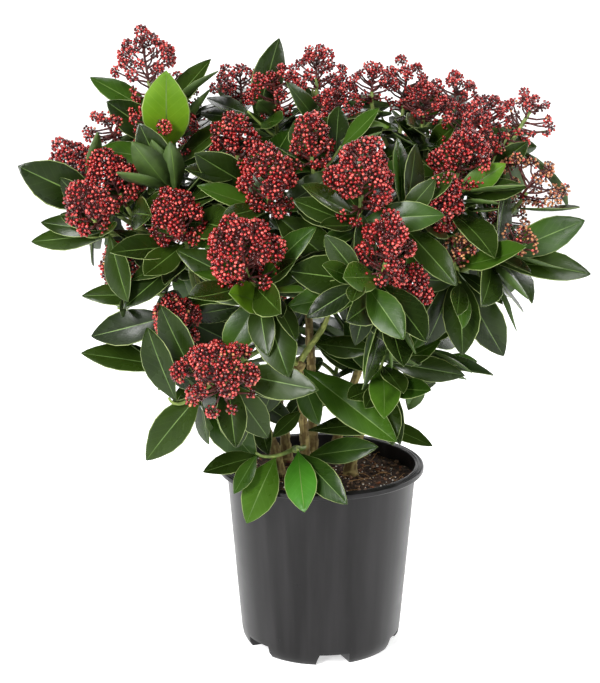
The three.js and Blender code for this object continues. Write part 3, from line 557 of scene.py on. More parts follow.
def snug(start, way, parent, radius, sides):
    # the root comes back along its way until it stands one joint's clearance off its parent
    form = skin([(start, way, radius), (start + way * 6, way, radius)], sides)
    root = treeOf(*form)
    gaps = [parent["tree"].find_nearest(Vector(c))[3] for c in form[0]]
    gaps += [root.find_nearest(Vector(c))[3] for c in parent["form"][0]]
    return start + way * (clearance["joint"] - min(gaps))


# Everything that has grown so far, as balls along the limbs and one ball to a head. A row of balls:
# its place, its radius, and 1 where it is a head.
grown = {"balls": np.zeros((0, 5)), "owners": []}


def limbOf(curve, stops, end):
    # a limb with its rings, and the balls along it that other limbs keep off
    rings = ringsOn(curve, stops)
    balls = []
    for (a, _, ra), (b, _, rb) in zip(rings, rings[1:]):
        steps = max(ceil(norm(b - a) / 3), 1)
        balls += [(*(a + (b - a) * k / steps), ra + (rb - ra) * k / steps, 0) for k in range(steps + 1)]
    return {"curve": curve, "stops": stops, "rings": rings, "end": end, "balls": np.array(balls)}


def keepBalls(balls, owner):
    grown["balls"] = np.vstack([grown["balls"], balls])
    grown["owners"] += [owner] * len(balls)


def room(balls, kin, pastHeads=True):
    away = np.array([owner not in kin for owner in grown["owners"]], bool)
    if not pastHeads:
        away |= grown["balls"][:, 4] > 0
    if not away.any():
        return inf
    others = grown["balls"][away]
    apart = norm(balls[:, None, :3] - others[None, :, :3], axis=2)
    return (apart - balls[:, 3, None] - others[None, :, 3]).min()


def firstClear(tries, kin, attemptAt):
    # the first try with enough room is taken, and otherwise the roomiest
    best, most = None, -inf
    for i in range(tries):
        made = attemptAt(i)
        left = room(made["balls"], kin)
        if left >= clearance["limb"]:
            return made
        if left > most:
            best, most = made, left
    return best


def spreadApart(one, two, least):
    # two ways that leave one fork are turned until the angle between them is wide enough
    angle = acos(np.clip(np.dot(unit(one), unit(two)), -1, 1))
    if angle >= least:
        return one, two
    hinge = np.cross(one, two)
    if norm(hinge) < 0.01:
        hinge = np.cross(one, [one[1], -one[0], 0.3])
    hinge = unit(hinge)
    half = (least - angle) / 2
    return turned(one, hinge, -half), turned(two, hinge, half)


limbs, forks = {}, {}


def keepLimb(name, size, limb):
    form = skin(limb["rings"], size["sides"])
    limbs[name] = {**limb, "form": form, "tree": treeOf(*form)}
    way = limb["curve"].wayAt(1)
    forks[name] = {"centre": limb["end"], "way": way, "radius": size["knob"], "owner": name}
    keepBalls(limb["balls"], name)


def growStem(name):
    foot, fork = stems[name]
    ground = np.array([*foot, soilTop + clearance["joint"]], float)
    end = np.array(fork, float)
    curve = Bend(ground, up, end, unit(unit(end - ground) + outward(end, 0.2)))
    stops = forkedStops(curve, stemSize)
    stops[0][1] += stemSize["flare"]
    stops.insert(1, [stemSize["flareHeight"] * 0.4, stemSize["foot"] + stemSize["flare"] * 0.3])
    keepLimb(name, stemSize, limbOf(curve, stops, end))


def growBoughs(stemName):
    fork = forks[stemName]
    names, ends = [], []
    for name, (owner, share, plans) in boughs.items():
        if owner == stemName:
            one, two = (placeAt(plan[0]) for plan in plans.values())
            names.append(name)
            ends.append(fork["centre"] + ((one + two) / 2 - fork["centre"]) * share)
    ways = spreadApart(*[unit(unit(end - fork["centre"]) + up * 0.25) for end in ends], 1.15)
    edge = fork["radius"] + clearance["joint"]
    starts = [snug(fork["centre"] + way * edge, way, limbs[stemName], boughSize["foot"], 5) for way in ways]
    for i, name in enumerate(names):

        def attemptAt(attempt):
            random = seeded(300 + i * 40 + attempt + len(stemName) * 7)
            end = shifted(ends[i], random, attempt * 3)
            curve = Bend(starts[i], ways[i], end, outward(end, 0.35))
            return limbOf(curve, forkedStops(curve, boughSize), end)

        keepLimb(name, boughSize, firstClear(9, [name, stemName], attemptAt))


def headPlaces(order, lead, second, heads):
    random = seeded(1000 + order * 17)
    first = placeAt(lead)
    places = [first]
    turn, spread, drop = second
    for i in range(1, max(heads, 2)):
        angle = turn + (i - 1) * 118 + (random(-12, 12) if i > 1 else 0)
        reach = spread * (random(0.85, 1.1) if i > 1 else 1)
        lower = abs(drop) * 0.5 + random(4, 16) if i > 1 else drop
        places.append(first + bearing(angle) * reach - up * lower)
    return places


def domeOf(head):
    # the plain dome that the head of buds fills, which the leaves keep clear of
    random = seeded(head["seed"])
    side = across(np.array([1, 0.2, 0.1]), head["axis"])
    other = np.cross(head["axis"], side)
    half = head["radius"] * head["tall"]
    corners = []
    for height, size, shift in ((-0.55, 0.8, 0), (0.32, 0.95, 0.5)):
        for k in range(5):
            angle = (k + shift) * 2 * pi / 5
            lobe = head["radius"] * size * random(0.88, 1.12)
            rise = half * height * random(0.85, 1.15)
            spot = side * cos(angle) * lobe + other * sin(angle) * lobe
            corners.append(head["centre"] + head["axis"] * rise + spot)
    corners.append(head["centre"] + head["axis"] * half)
    faces = [(0, 4, 3, 2, 1)]
    for k in range(5):
        n = (k + 1) % 5
        faces += [(k, n, 5 + k), (n, 5 + n, 5 + k), (5 + k, 5 + n, 10)]
    return corners, faces


masses = []


def growMass(name, plan, root):
    lead, second, heads, size, tall, lean, kind = plan
    order = len(masses)
    places = headPlaces(order, lead, second, heads)
    middle = sum(places) / len(places)
    edge = root["centre"] + root["way"] * (root["radius"] + clearance["joint"])
    start = snug(edge, root["way"], limbs[root["owner"]], twigSize["foot"], twigSize["sides"])
    hub = start + (middle - start) * 0.36
    hubWay = unit(unit(middle - start) + root["way"] * 0.6)
    kin = [name, root["owner"]]

    def trunkAt(attempt):
        end = shifted(hub, seeded(2000 + order * 31 + attempt), attempt * 3)
        curve = Bend(start, root["way"], end, hubWay)
        return limbOf(curve, limbStops(curve, 3, twigSize["foot"], twigSize["fork"]), end)

    trunk = firstClear(9, kin, trunkAt)
    keepBalls(trunk["balls"], name)
    shoots = []
    for i, place in enumerate(places):
        axis = outward(place, lean)
        bears = i < heads
        radius = size * (1, 0.9, 0.86)[i] if bears else 0

        def shootAt(attempt):
            shrink = 1 - attempt * 0.025
            centre = shifted(place, seeded(3000 + order * 53 + i * 13 + attempt), attempt * 2.5)
            curve = Bend(trunk["end"], trunk["curve"].wayAt(1), centre - axis * radius * tall * 0.45, axis)
            stops = limbStops(curve, 4, twigSize["fork"], twigSize["tip"])
            if i > 0:
                stops[0][1] = twigSize["bud"]
            shoot = limbOf(curve, stops, centre)
            if bears:
                reach = max(radius, radius * tall) * 1.06 * shrink
                shoot["balls"] = np.vstack([shoot["balls"], [*centre, reach, 1]])
            return {**shoot, "radius": radius * shrink}

        shoot = firstClear(12, kin, shootAt)
        keepBalls(shoot["balls"], name)
        head = {"centre": shoot["end"], "axis": axis, "radius": shoot["radius"], "tall": tall}
        head["seed"] = 5000 + order * 10 + i
        rings = shoot["rings"] if i > 0 else trunk["rings"] + shoot["rings"][1:]
        shoots.append({"rings": rings, "curve": shoot["curve"], "head": head if bears else None})
    mass = {"name": name, "order": order, "owner": root["owner"], "kind": kind, "trunk": trunk["curve"]}
    masses.append({**mass, "shoots": shoots, "leaves": [], "sides": []})


def growLimbs():
    for name in stems:
        growStem(name)
    for name in stems:
        growBoughs(name)
    for boughName, (_, _, plans) in boughs.items():
        fork = forks[boughName]
        aims = [unit(unit(placeAt(plan[0]) - fork["centre"]) + fork["way"] * 0.3) for plan in plans.values()]
        for (name, plan), way in zip(plans.items(), spreadApart(*aims, 1.3)):
            growMass(name, plan, {**fork, "way": way})
    for name, (stemName, height, tip, second, lean) in skirtPlans.items():
        curve = limbs[stemName]["curve"]
        share = (height - curve.handles[0][2]) / (curve.handles[3][2] - curve.handles[0][2])
        centre = curve.at(share)
        way = across(unit(placeAt(tip) - centre), curve.wayAt(share))
        radius = stemSize["foot"] + (stemSize["tip"] - stemSize["foot"]) * share + 0.3
        root = {"centre": centre, "way": way, "radius": radius, "owner": stemName}
        growMass(name, (tip, second, 0, 0, 1, lean, "none"), root)


def leafBox(plan, start, extra):
    # the plain leaf that keeps its room: an outline that bends along an arc, and a keel inside the bend
    root, way, face, length, arch = (plan[key] for key in ("root", "way", "face", "length", "arch"))
    side = unit(np.cross(face, way))
    half = plan["width"] / 2 + extra
    keel = -1 if arch > 0 else 1
    rise = -keel * extra
    near, far, wide = length * 0.36, length * 0.68, half * 0.76
    spots = [
        (start, 0, rise), (near, wide, rise), (near, -wide, rise), (far, half, rise), (far, -half, rise),
        (length + extra, 0, rise), (length * 0.42, 0, keel * (leafSize["thick"] + extra)),
    ]
    corners = []
    for along, aside, lift in spots:
        angle = arch * along / length
        forward = sin(angle) * length / arch
        down = (1 - cos(angle)) * length / arch
        corners.append(root + way * forward + face * (lift - down) + side * aside)
    faces = "012 142 134 354 106 316 536 456 246 026"
    return corners, [tuple(map(int, face)) for face in faces.split()]


obstacles = []


def keepClearOf(form, mass, part=None):
    corners = np.array(form[0])
    obstacles.append((treeOf(*form), corners.min(0), corners.max(0), mass, part))


def touches(form, name, part=None):
    # whether a form meets something else than its own mass, or than that one part of it
    corners = np.array(form[0])
    low, high = corners.min(0), corners.max(0)
    tree = None
    for other, otherLow, otherHigh, mass, otherPart in obstacles:
        isOwn = mass == name and part in (None, otherPart)
        if isOwn or (low > otherHigh).any() or (high < otherLow).any():
            continue
        tree = tree or treeOf(*form)
        if tree.overlap(other):
            return True
    return False


def leafPlan(mass, part, shoot, number, share, attempt, fineScale):
    random = seeded(22192 + mass["order"] * 997 + part * 101 + number * 11 + attempt * 7919)
    curve, head = shoot["curve"], shoot["head"]
    bare = 5 + head["radius"] * head["tall"] * 0.25 if head else 1
    below = bare + share * min(leafSize["whorl"], curve.length * 0.5)
    along = max(1 - below / curve.length, 0.1)
    axis, root = curve.wayAt(along), curve.at(along)
    flat = level(root)
    spin = radians((number - 2) * leafSize["turn"] + random(-22, 22) + attempt * 31)
    out = turned(across(flat, axis), axis, spin)
    steep = leafSize["steep"] if head else leafSize["steep"] - 16
    tilt = steep + (leafSize["flat"] - steep) * share + random(-12, 12) + attempt * 2
    tilt = radians(tilt - (4 if fineScale else 0))
    way = unit(axis * cos(tilt) + out * sin(tilt))
    # the finer leaves turn their faces up along their own shoot
    face = up * 0.5 + axis + unit(flat) * 0.1 if fineScale else light + axis * 0.35 + unit(flat) * 0.5
    face = turned(across(face, way), way, random(-0.5, 0.5))
    more = (leafSize["long"] - leafSize["short"]) * (0.25 + 0.75 * share) * random(0.82, 1.12)
    length = (leafSize["short"] + more) * (1 - max(attempt - 4, 0) * 0.05) * (fineScale or 1)
    width = length * random(leafSize["slender"], leafSize["broad"])
    arch = random(*leafSize["arch"]) + share * leafSize["sag"] * (0.6 if fineScale else 1)
    return {"root": root, "way": way, "face": face, "length": length, "width": width, "arch": arch}


def withinReach(corners):
    # finer leaves keep to the box that the solids fill
    low, high = (np.array(corner) / mm for corner in solidBounds)
    return (np.min(corners, axis=0) > low).all() and (np.max(corners, axis=0) < high).all()


def standingPlan(mass, number, leaf, attempt):
    shoot, below, tip, broad, front = leaf
    curve = mass["shoots"][shoot]["curve"]
    along = max(1 - below / curve.length, 0.1)
    return plannedTo(curve, along, tip, broad, front, attempt, 7000 + mass["order"] * 61 + number * 13)


def plannedTo(curve, along, tip, broad, front, attempt, seed):
    random = seeded(seed + attempt * 7919)
    root = curve.at(along)
    chord = shifted(placeAt(tip), random, attempt * 2) - root
    length = norm(chord) * (1 - attempt * 0.015)
    chord = unit(chord)
    arch = random(0.1, 0.35)
    flat = light + curve.wayAt(along) * 0.35 + unit(level(root)) * 0.5
    flat = flat * (1 - front) + np.array([0, -1, 0.25]) * front
    flat = turned(across(flat, chord), chord, random(-0.2, 0.2))
    way = chord * cos(arch / 2) + flat * sin(arch / 2)
    face = flat * cos(arch / 2) - chord * sin(arch / 2)
    plan = {"root": root, "way": way, "face": face, "length": length, "width": length * broad, "arch": arch}
    return {**plan, "trim": finer["reachOut"]}


# What the finer growth adds to the solids' rule, in shares and millimetres.
finer = {
    "sidePerShoot": 2, "sideReach": (22, 44), "sideLeaves": 6, "sideScale": 0.75,
    "moreLeaves": 5, "moreScale": 0.78, "clear": 0.4, "slim": 0.95, "trim": 0.97, "reachOut": 1.04,
    "headRoom": 24, "bare": ("skirt_front", "mass_peak_right"),
    "lowLeaves": ("mass_top_right", "mass_shoulder_right", "mass_top_middle"),
}


def tipOf(plan):
    half = plan["arch"] / 2
    return plan["root"] + (plan["way"] * cos(half) - plan["face"] * sin(half)) * plan["length"]


def inOpening(plan):
    spots = [tipOf(plan), (tipOf(plan) + plan["root"]) / 2]
    return any(norm(spot - placeAt(place)) < radius for place, radius in openings for spot in spots)


def insideCrown(plan):
    tip = tipOf(plan)
    above = max(next((i for i, (height, _) in enumerate(crownShape) if height > tip[2]), 0), 1)
    (low, near), (high, far) = crownShape[above - 1], crownShape[above]
    return hypot(tip[0], tip[1]) < near + (far - near) * (tip[2] - low) / (high - low)


def overHead(plan):
    # a finer leaf would stand over a head of buds, or in front of it
    spots = [tipOf(plan), (tipOf(plan) + plan["root"]) / 2]
    for head in (shoot["head"] for mass in masses for shoot in mass["shoots"] if shoot["head"]):
        for spot in spots:
            away = spot - head["centre"]
            if norm(away) < head["radius"] + finer["headRoom"] and away @ head["axis"] - away[1] * 0.5 > 0:
                return True
    return False


def addLeaf(mass, part, plan, age=None):
    keepClearOf(leafBox(plan, -leafSize["sunk"], 0), mass["name"], part)
    mass["leaves"].append({**plan, "shoot": part, "age": age})


def keepLeaf(mass, part, clear, bound, plans):
    # the first of the plans whose leaf keeps clear of all that has grown is kept
    for plan in plans:
        if bound and (not insideCrown(plan) or inOpening(plan)):
            continue
        if (bound == "box" or (bound and mass["name"] in finer["lowLeaves"])) and overHead(plan):
            continue
        if touches(leafBox(plan, leafSize["free"], clear), mass["name"], part):
            continue
        leaf = leafBox(plan, -leafSize["sunk"], 0)
        if touches(leaf, mass["name"]) or (bound == "box" and not withinReach(leaf[0])):
            continue
        return addLeaf(mass, part, plan)


def growLeaf(mass, part, shoot, number, share, fineScale=None):
    plans = (leafPlan(mass, part, shoot, number, share, attempt, fineScale) for attempt in range(10))
    clear = finer["clear"] if fineScale else clearance["leaf"]
    keepLeaf(mass, part, clear, "box" if fineScale else "crown", plans)


growLimbs()
for nodeName in ("pot", "soil"):
    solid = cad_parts[nodeName].data
    keepClearOf(([v.co / mm for v in solid.vertices], [tuple(f.vertices) for f in solid.polygons]), nodeName)
for limbName, limb in limbs.items():
    keepClearOf(limb["form"], limbName)
for mass in masses:
    for i, shoot in enumerate(mass["shoots"]):
        keepClearOf(skin(shoot["rings"], twigSize["sides"]), mass["name"], i)
        if shoot["head"]:
            keepClearOf(domeOf(shoot["head"]), mass["name"], "head")
for mass in masses:
    for number, leaf in enumerate(standing.get(mass["name"], ())):
        plans = (standingPlan(mass, number, leaf, attempt) for attempt in range(leafSize["patience"]))
        keepLeaf(mass, leaf[0], clearance["leaf"], None, plans)
bearer = next(mass for mass in masses if mass["name"] == "skirt_front")
for limbName, leaves in limbLeaves.items():
    for number, (along, *leaf, age) in enumerate(leaves):
        addLeaf(bearer, 0, plannedTo(limbs[limbName]["curve"], along, *leaf, 0, 8200 + number * 17), age)
for mass in masses:
    for i, shoot in enumerate(mass["shoots"]):
        count = leafSize["perShoot"] + (0 if shoot["head"] else 2)
        first = sum(plan["shoot"] == i for plan in mass["leaves"])
        start, stop = leafSpans.get(mass["name"], (0, 9))
        for number in range(max(first, start), min(count, stop)):
            growLeaf(mass, i, shoot, number, number / (count - 1))
print("grown by the solids' rule:", len(masses), "masses,", sum(len(m["leaves"]) for m in masses), "leaves")

# Finer growth: side shoots with small leaves, and more leaves on each shoot, where there is room.


def growSideShoots(mass):
    name = mass["name"]
    for shootNumber, shoot in enumerate(mass["shoots"]):
        for number in range(finer["sidePerShoot"]):
            random = seeded(9000 + mass["order"] * 41 + shootNumber * 7 + number)
            share = random(0.25, 0.5) + 0.22 * number
            base, axis = shoot["curve"].at(share), shoot["curve"].wayAt(share)
            flat = level(base)
            way = turned(across(flat, axis), axis, radians(random(-70, 70) + number * 170))
            way = unit(axis * 0.75 + way)
            for attempt in range(4):
                reach = random(*finer["sideReach"]) * (1 - attempt * 0.15)
                end = base + way * reach + up * reach * 0.2
                curve = Bend(base, way, end, unit(way + up * 0.5 + unit(flat) * 0.3))
                side = limbOf(curve, limbStops(curve, 4, 1.7, 1.5), end)
                form = skin(side["rings"], 3)
                if room(side["balls"], [name], pastHeads=False) < 0.5 or touches(form, name, shootNumber):
                    continue
                keepBalls(side["balls"], name)
                part = 100 + shootNumber * 10 + number
                keepClearOf(form, name, part)
                mass["sides"].append({"curve": curve, "head": None, "part": part})
                break


for mass in masses:
    for leaf in extraLeaves.get(mass["name"], ()):
        addLeaf(mass, leaf[0], standingPlan(mass, 9, leaf[:5], 0), leaf[5])
    for number, age in standingAges.get(mass["name"], {}).items():
        mass["leaves"][number]["age"] = age
richMasses = [mass for mass in masses if mass["name"] not in finer["bare"]]
for mass in richMasses:
    growSideShoots(mass)
for mass in richMasses:
    for side in mass["sides"]:
        for number in range(finer["sideLeaves"]):
            share = number / (finer["sideLeaves"] - 1)
            growLeaf(mass, side["part"], side, number, share, finer["sideScale"])
    for i, shoot in enumerate(mass["shoots"]):
        for number in range(finer["moreLeaves"]):
            share = (number + 0.5) / finer["moreLeaves"]
            growLeaf(mass, i, shoot, 20 + number, share, finer["moreScale"])
sideCount, leafCount = (sum(len(mass[key]) for mass in masses) for key in ("sides", "leaves"))
print("finer growth:", sideCount, "side shoots,", leafCount, "leaves")


# One leaf, modelled once: a blade with a painted highlight along its edge and a sunk rib on top, and a keel
# underneath.
leafForm = {
    "rows": (0, 0.07, 0.18, 0.32, 0.46, 0.6, 0.74, 0.87, 0.95, 1),
    "widths": (0.05, 0.075, 0.36, 0.74, 0.95, 1.0, 0.86, 0.53, 0.26, 0.03),
    "topColumns": (-1, -0.955, -0.028, 0.028, 0.955, 1),
    "topRise": (0, 0.005, -0.01, -0.01, 0.005, 0),
    "underColumns": (-1, -0.035, 0.035, 1),
    "underRise": (0, -0.026, -0.026, 0),
}


def bladeSheet(columns, rises, slots):
    # slots: the material of each strip of faces, from one edge to the other
    rows, widths = leafForm["rows"], leafForm["widths"]
    sheet = shapeFrom("grid", x_subdivisions=len(columns) - 1, y_subdivisions=len(rows) - 1, size=1)
    spots = [tuple(v.co) for v in sheet.data.vertices]

    def pickLine(part, old):
        pickCorners(sheet, lambda corner: abs(spots[corner.index][part] - old) < 1e-4)

    for i, (x, rise) in enumerate(zip(columns, rises)):
        old = i / (len(columns) - 1) - 0.5
        pickLine(0, old)
        bpy.ops.transform.translate(value=(x - old, 0, rise))
    closeMesh()
    for face in sheet.data.polygons:
        face.material_index = slots[sum(x < face.center.x for x in columns) - 1]
    for i, (y, width) in enumerate(zip(rows, widths)):
        old = i / (len(rows) - 1) - 0.5
        pickLine(1, old)
        bpy.ops.transform.translate(value=(0, y - old, 0))
        stretch((width, 1, 0.4 + 0.6 * width), (0, y, 0))
    closeMesh()
    return sheet


def makeLeafForm():
    # the strips at the two edges of the top take the rim's painted highlight; the middle strip is the rib
    top = bladeSheet(leafForm["topColumns"], leafForm["topRise"], (1, 0, 2, 0, 1))
    under = bladeSheet(leafForm["underColumns"], leafForm["underRise"], (3, 2, 3))
    marks = [bpy.data.materials.new("leaf part") for _ in range(4)]
    for sheet in (top, under):
        for mark in marks:
            sheet.data.materials.append(mark)
    leaf = joinAll([top, under])
    openMesh()
    bpy.ops.mesh.remove_doubles(threshold=0.0005)
    bpy.ops.mesh.fill_holes(sides=12)
    bpy.ops.mesh.normals_make_consistent(inside=False)
    closeMesh()
    template = templateOf(leaf)
    for mark in marks:
        bpy.data.materials.remove(mark)
    return template


leafTemplate = makeLeafForm()
print("leaf form:", len(leafTemplate["sizes"]), "faces")


def leafCorners(plan, random):
    # the leaf form at this leaf's size, folded along its rib, waved, twisted and bent along its arc
    form = leafTemplate["corners"]
    length, arch = plan["length"] * plan.get("trim", finer["trim"]), plan["arch"]
    side, y = form[:, 0], form[:, 1]
    x = side * plan["width"] * finer["slim"] / 2
    fold, wave, twist = random(0.02, 0.24), random(0.004, 0.016) * length, random(-0.35, 0.35)
    phase, sway = random(0, 6), random(-0.05, 0.05) * length
    z = form[:, 2] * length + np.abs(x) * fold + wave * np.sin(y * 8 + phase) * side**2
    roll = twist * y
    x, z = x * np.cos(roll) - z * np.sin(roll), x * np.sin(roll) + z * np.cos(roll)
    x = x + sway * y**2
    angle = arch * y
    way, face = plan["way"], plan["face"]
    forward = np.sin(angle) * length / arch - 1
    down = (1 - np.cos(angle)) * length / arch
    lift = np.outer(np.cos(angle), face) + np.outer(np.sin(angle), way)
    spine = plan["root"] + np.outer(forward, way) - np.outer(down, face)
    return spine + lift * z[:, None] + np.outer(x, np.cross(way, face))


# One bud, modelled once: a small globe with a blunt tip on a flat cup.
def makeBudForm():
    bud = shapeFrom("uv_sphere", segments=5, ring_count=4, radius=0.5)
    pickCorners(bud, lambda corner: corner.co.z > 0.45)
    bpy.ops.transform.translate(value=(0, 0, 0.06))
    pickCorners(bud, lambda corner: corner.co.z < -0.45)
    bpy.ops.transform.translate(value=(0, 0, 0.12))
    pickCorners(bud, lambda corner: -0.45 < corner.co.z < -0.2)
    stretch((1.06, 1.06, 1))
    closeMesh()
    for face in bud.data.polygons:
        face.material_index = 1 if face.center.z < -0.32 else 0
    return templateOf(bud)


budTemplate = makeBudForm()


def facesAsArrays(faces):
    loops = np.array([corner for face in faces for corner in face])
    return {"loops": loops, "sizes": np.array([len(face) for face in faces])}


def addRods(bundle, rods, sides):
    # rods: rows of start, end, first radius, last radius, slot
    if not rods:
        return
    start, end, low, high, slots = (np.array(column) for column in zip(*rods))
    way = end - start
    way /= norm(way, axis=1)[:, None]
    side = np.cross(way, [0.3, 0.9, 0.2])
    side /= norm(side, axis=1)[:, None]
    other = np.cross(way, side)
    angles = 2 * pi * np.arange(sides) / sides
    ring = side[:, None] * np.cos(angles)[None, :, None] + other[:, None] * np.sin(angles)[None, :, None]
    ends = [start[:, None] + ring * low[:, None, None], end[:, None] + ring * high[:, None, None]]
    template = facesAsArrays(tubeFaces(2, sides))
    slots = np.repeat(slots[:, None], len(template["sizes"]), axis=1)
    bundle.addCopies(template, np.concatenate(ends, axis=1), slots)


# Heads: a main stalk, branches to lobes of different sizes, and each lobe's buds on stalks of their own.
# Most lobes make a blunt dome, lifted by "rise", and "under" of them stand lower and apart below it.
headKeys = ("lobes", "under", "spread", "set", "lobe", "gap", "bud", "rise", "ragged", "wide")
headKinds = {
    "full": (17, 8, 1.2, 0.76, 0.28, 1.4, 3.1, 1.4, 0.14, 0.96),
    "loose": (20, 9, 1.2, 0.84, 0.23, 1.38, 2.85, 1.15, 0.22, 1.04),
    "open": (20, 7, 1.3, 0.9, 0.21, 1.36, 2.8, 0.98, 0.26, 1.2),
    "sparse": (15, 6, 1.35, 0.98, 0.22, 1.4, 2.7, 0.92, 0.28, 1.28),
    "small": (12, 4, 1.3, 0.72, 0.34, 1.3, 2.9, 1.1, 0.18, 0.96),
    "tan": (12, 5, 1.3, 0.9, 0.22, 1.6, 2.6, 1.0, 0.24, 1.1),
}
# Heads that stand a little lower than the dome of the solid, in millimetres.
headShift = {"mass_peak_right": (-7, 0, -12), "mass_top_middle": (0, 0, -8), "mass_side_right": (0, 0, 4)}
# One more loose head, on a long stalk: the mass, shoot and share that carry it, its place, radius and kind.
extraHeads = (("mass_peak_left", 1, 0.4, (-88, 207, 529), 18, "sparse"),)
tanShare = {"loose": 0.03, "sparse": 0.05, "small": 0.05, "tan": 0.6}
goldenAngle = pi * (3 - sqrt(5))


def capWays(axis, count, reach, random, stray=0.06):
    # ways spread over a cap round the axis; reach 1 is a half ball and 2 a whole one
    side = across(np.array([0.9, 0.2, 0.3]), axis)
    other = np.cross(axis, side)
    start = random(0, 6.28)
    ways = []
    for k in range(count):
        rise = 1 - (k + 0.5) / count * reach
        flat = sqrt(max(1 - rise * rise, 0))
        angle = start + k * goldenAngle + random(-4, 4) * stray
        rise += random(-stray, stray)
        ways.append(unit(axis * rise + (side * cos(angle) + other * sin(angle)) * flat))
    return ways


def growHead(head, kind, stalks, buds):
    look = dict(zip(headKeys, headKinds[kind]))
    random = seeded(head["seed"] + 31)
    centre, axis, radius, tall = head["centre"], head["axis"], head["radius"], head["tall"]
    foot = centre - axis * radius * tall * 0.9
    crest = centre + axis * radius * tall * 0.5
    stalks["thick"].append((foot - axis * 3, crest, 1.9, 1.0, 1))
    knots, sizes = [], []
    ways = capWays(axis, look["lobes"], look["spread"], random, 0.1)
    under = capWays(axis, 3 * look["under"], 1.9, random, 0.08)[-look["under"] - 1 : -1]
    for way in ways + under:
        rise = np.dot(way, axis)
        flat = way - axis * rise
        reach = look["set"] * random(1 - look["ragged"], 1 + look["ragged"])
        if len(knots) < len(ways):
            lift = axis * rise * radius * tall * reach * look["rise"]
            knots.append(centre + flat * radius * reach * (look["wide"] - 0.42 * rise) + lift)
            sizes.append(radius * look["lobe"] * random(0.74, 1.26))
        else:
            # an under lobe stands well out from the stalk, a little below the dome
            beside = centre + unit(flat) * radius * random(0.45, 0.85)
            knots.append(beside - axis * radius * tall * random(0.5, 0.95))
            sizes.append(radius * look["lobe"] * random(0.5, 0.85))
    ways += under
    knots, sizes = np.array(knots), np.array(sizes)
    placed = np.zeros((0, 3))
    for number, (knot, size, way) in enumerate(zip(knots, sizes, ways)):
        rise = np.dot(way, axis)
        flat = way - axis * rise
        along = np.dot(knot - foot, axis) - norm(flat) * radius * 0.5
        root = foot + axis * np.clip(along, 1.5, norm(crest - foot))
        middle = (root + knot) / 2 - axis * radius * 0.05 + flat * radius * 0.05
        stalks["thick"] += [(root, middle, 1.1, 0.95, 1), (middle, knot, 0.95, 0.8, 1)]
        outwards = unit(way + axis * 0.2)
        joints = [knot + w * size * 0.45 for w in capWays(outwards, 4, 1.1, random)]
        for joint in joints:
            stalks["thin"].append((knot, joint, 0.7, 0.55, 1))
        pitch = look["bud"] * look["gap"]
        count = int(2 * pi * size * size * 1.45 / (0.87 * pitch * pitch))
        for budWay in capWays(outwards, count, 1.45, random, 0.03):
            spot = knot + budWay * size * random(0.9, 1.05)
            width = look["bud"] * random(0.84, 1.14)
            others = np.arange(len(knots)) != number
            depth = 1 - norm(knots[others] - spot, axis=1) / sizes[others]
            if depth.max() > 0.22:
                continue
            if len(placed) and norm(placed - spot, axis=1).min() < width * 0.86:
                continue
            placed = np.vstack([placed, spot])
            joint = min(joints, key=lambda j: norm(j - spot))
            facing = unit(unit(spot - joint) + budWay * 0.5)
            stalks["thin"].append((joint, spot - facing * width * 0.36, 0.42, 0.36, 2))
            # tone 1 is the red with a painted highlight and tone 2 the red with painted shade, given to buds
            # at random; tone 3 is an unripe bud
            draw = random(0, 1)
            tone = 3 if draw < tanShare.get(kind, 0) else (0 if draw < 0.45 else (1 if draw < 0.7 else 2))
            buds.append((spot, facing, width, tone))


def addBuds(bundle, buds):
    place, axis, width, tone = (np.array(column) for column in zip(*buds))
    side = np.cross(axis, [0.2, 0.3, 0.93])
    side /= norm(side, axis=1)[:, None]
    frameOf = np.stack([side, np.cross(axis, side), axis], axis=1)
    corners = np.einsum("vk,nkj->nvj", budTemplate["corners"], frameOf)
    corners = corners * width[:, None, None] + place[:, None]
    bundle.addCopies(budTemplate, corners, np.where(budTemplate["slots"][None, :] == 0, tone[:, None], 4))


# Limbs: the same lines as the solids, in many small rings whose bark stands up in ridges and flakes.
barkForm = {
    "stem": {
        "step": 1.8, "sides": 22, "ridge": 0.75, "flake": 0.5, "across": 0.42, "along": 0.07, "early": 1.5,
    },
    "bough": {
        "step": 1.8, "sides": 16, "ridge": 0.32, "flake": 0.25, "across": 0.5, "along": 0.11, "early": 3.5,
    },
}


def addLimb(bundle, curve, stops, form, slot, early=0, capSlot=None):
    # stops give the radius along the limb; "early" starts it inside the piece that carries it
    alongs, radii = zip(*stops)
    first, last = alongs[0] - early, alongs[-1]
    steps = max(int((last - first) / form["step"]), 3)
    side = np.array([1, 0.1, 0])
    corners, tones = [], []
    for i in range(steps + 1):
        along = first + (last - first) * i / steps
        share = min(max(along / curve.length, 0), 1)
        way = curve.wayAt(share)
        centre = curve.at(share) + way * (max(along - curve.length, 0) + min(along, 0))
        radius = np.interp(along, alongs, radii)
        side = across(side, way)
        for k, out in enumerate(spokes(side, way, form["sides"])):
            spot = out * radius
            ridge = noise.noise(Vector((*(spot * form["across"])[:2], along * form["along"] + spot[2] * 0.1)))
            angle = 2 * pi * k / form["sides"]
            flake = noise.cell(Vector((angle * 1.9, along * 0.16, radius))) - 0.5
            reach = radius + ridge * form["ridge"] + flake * form["flake"]
            corners.append(centre + out * max(reach, radius * 0.6))
            # the tone follows the relief: the bark is coloured darker where it sinks between ridges and
            # flakes and lighter where it stands up
            tones.append(0.5 + ridge * 0.5 + flake * 0.3)
    tube = facesAsArrays(tubeFaces(steps + 1, form["sides"]))
    slots = np.full(len(tube["sizes"]), slot)
    slots[-1] = slot if capSlot is None else capSlot
    bundle.add(np.array(corners), tube["loops"], tube["sizes"], slots, tone=np.array(tones))


twigForm = {"step": 4, "sides": 8, "ridge": 0.12, "flake": 0.08, "across": 0.5, "along": 0.2}


# Materials of the plant

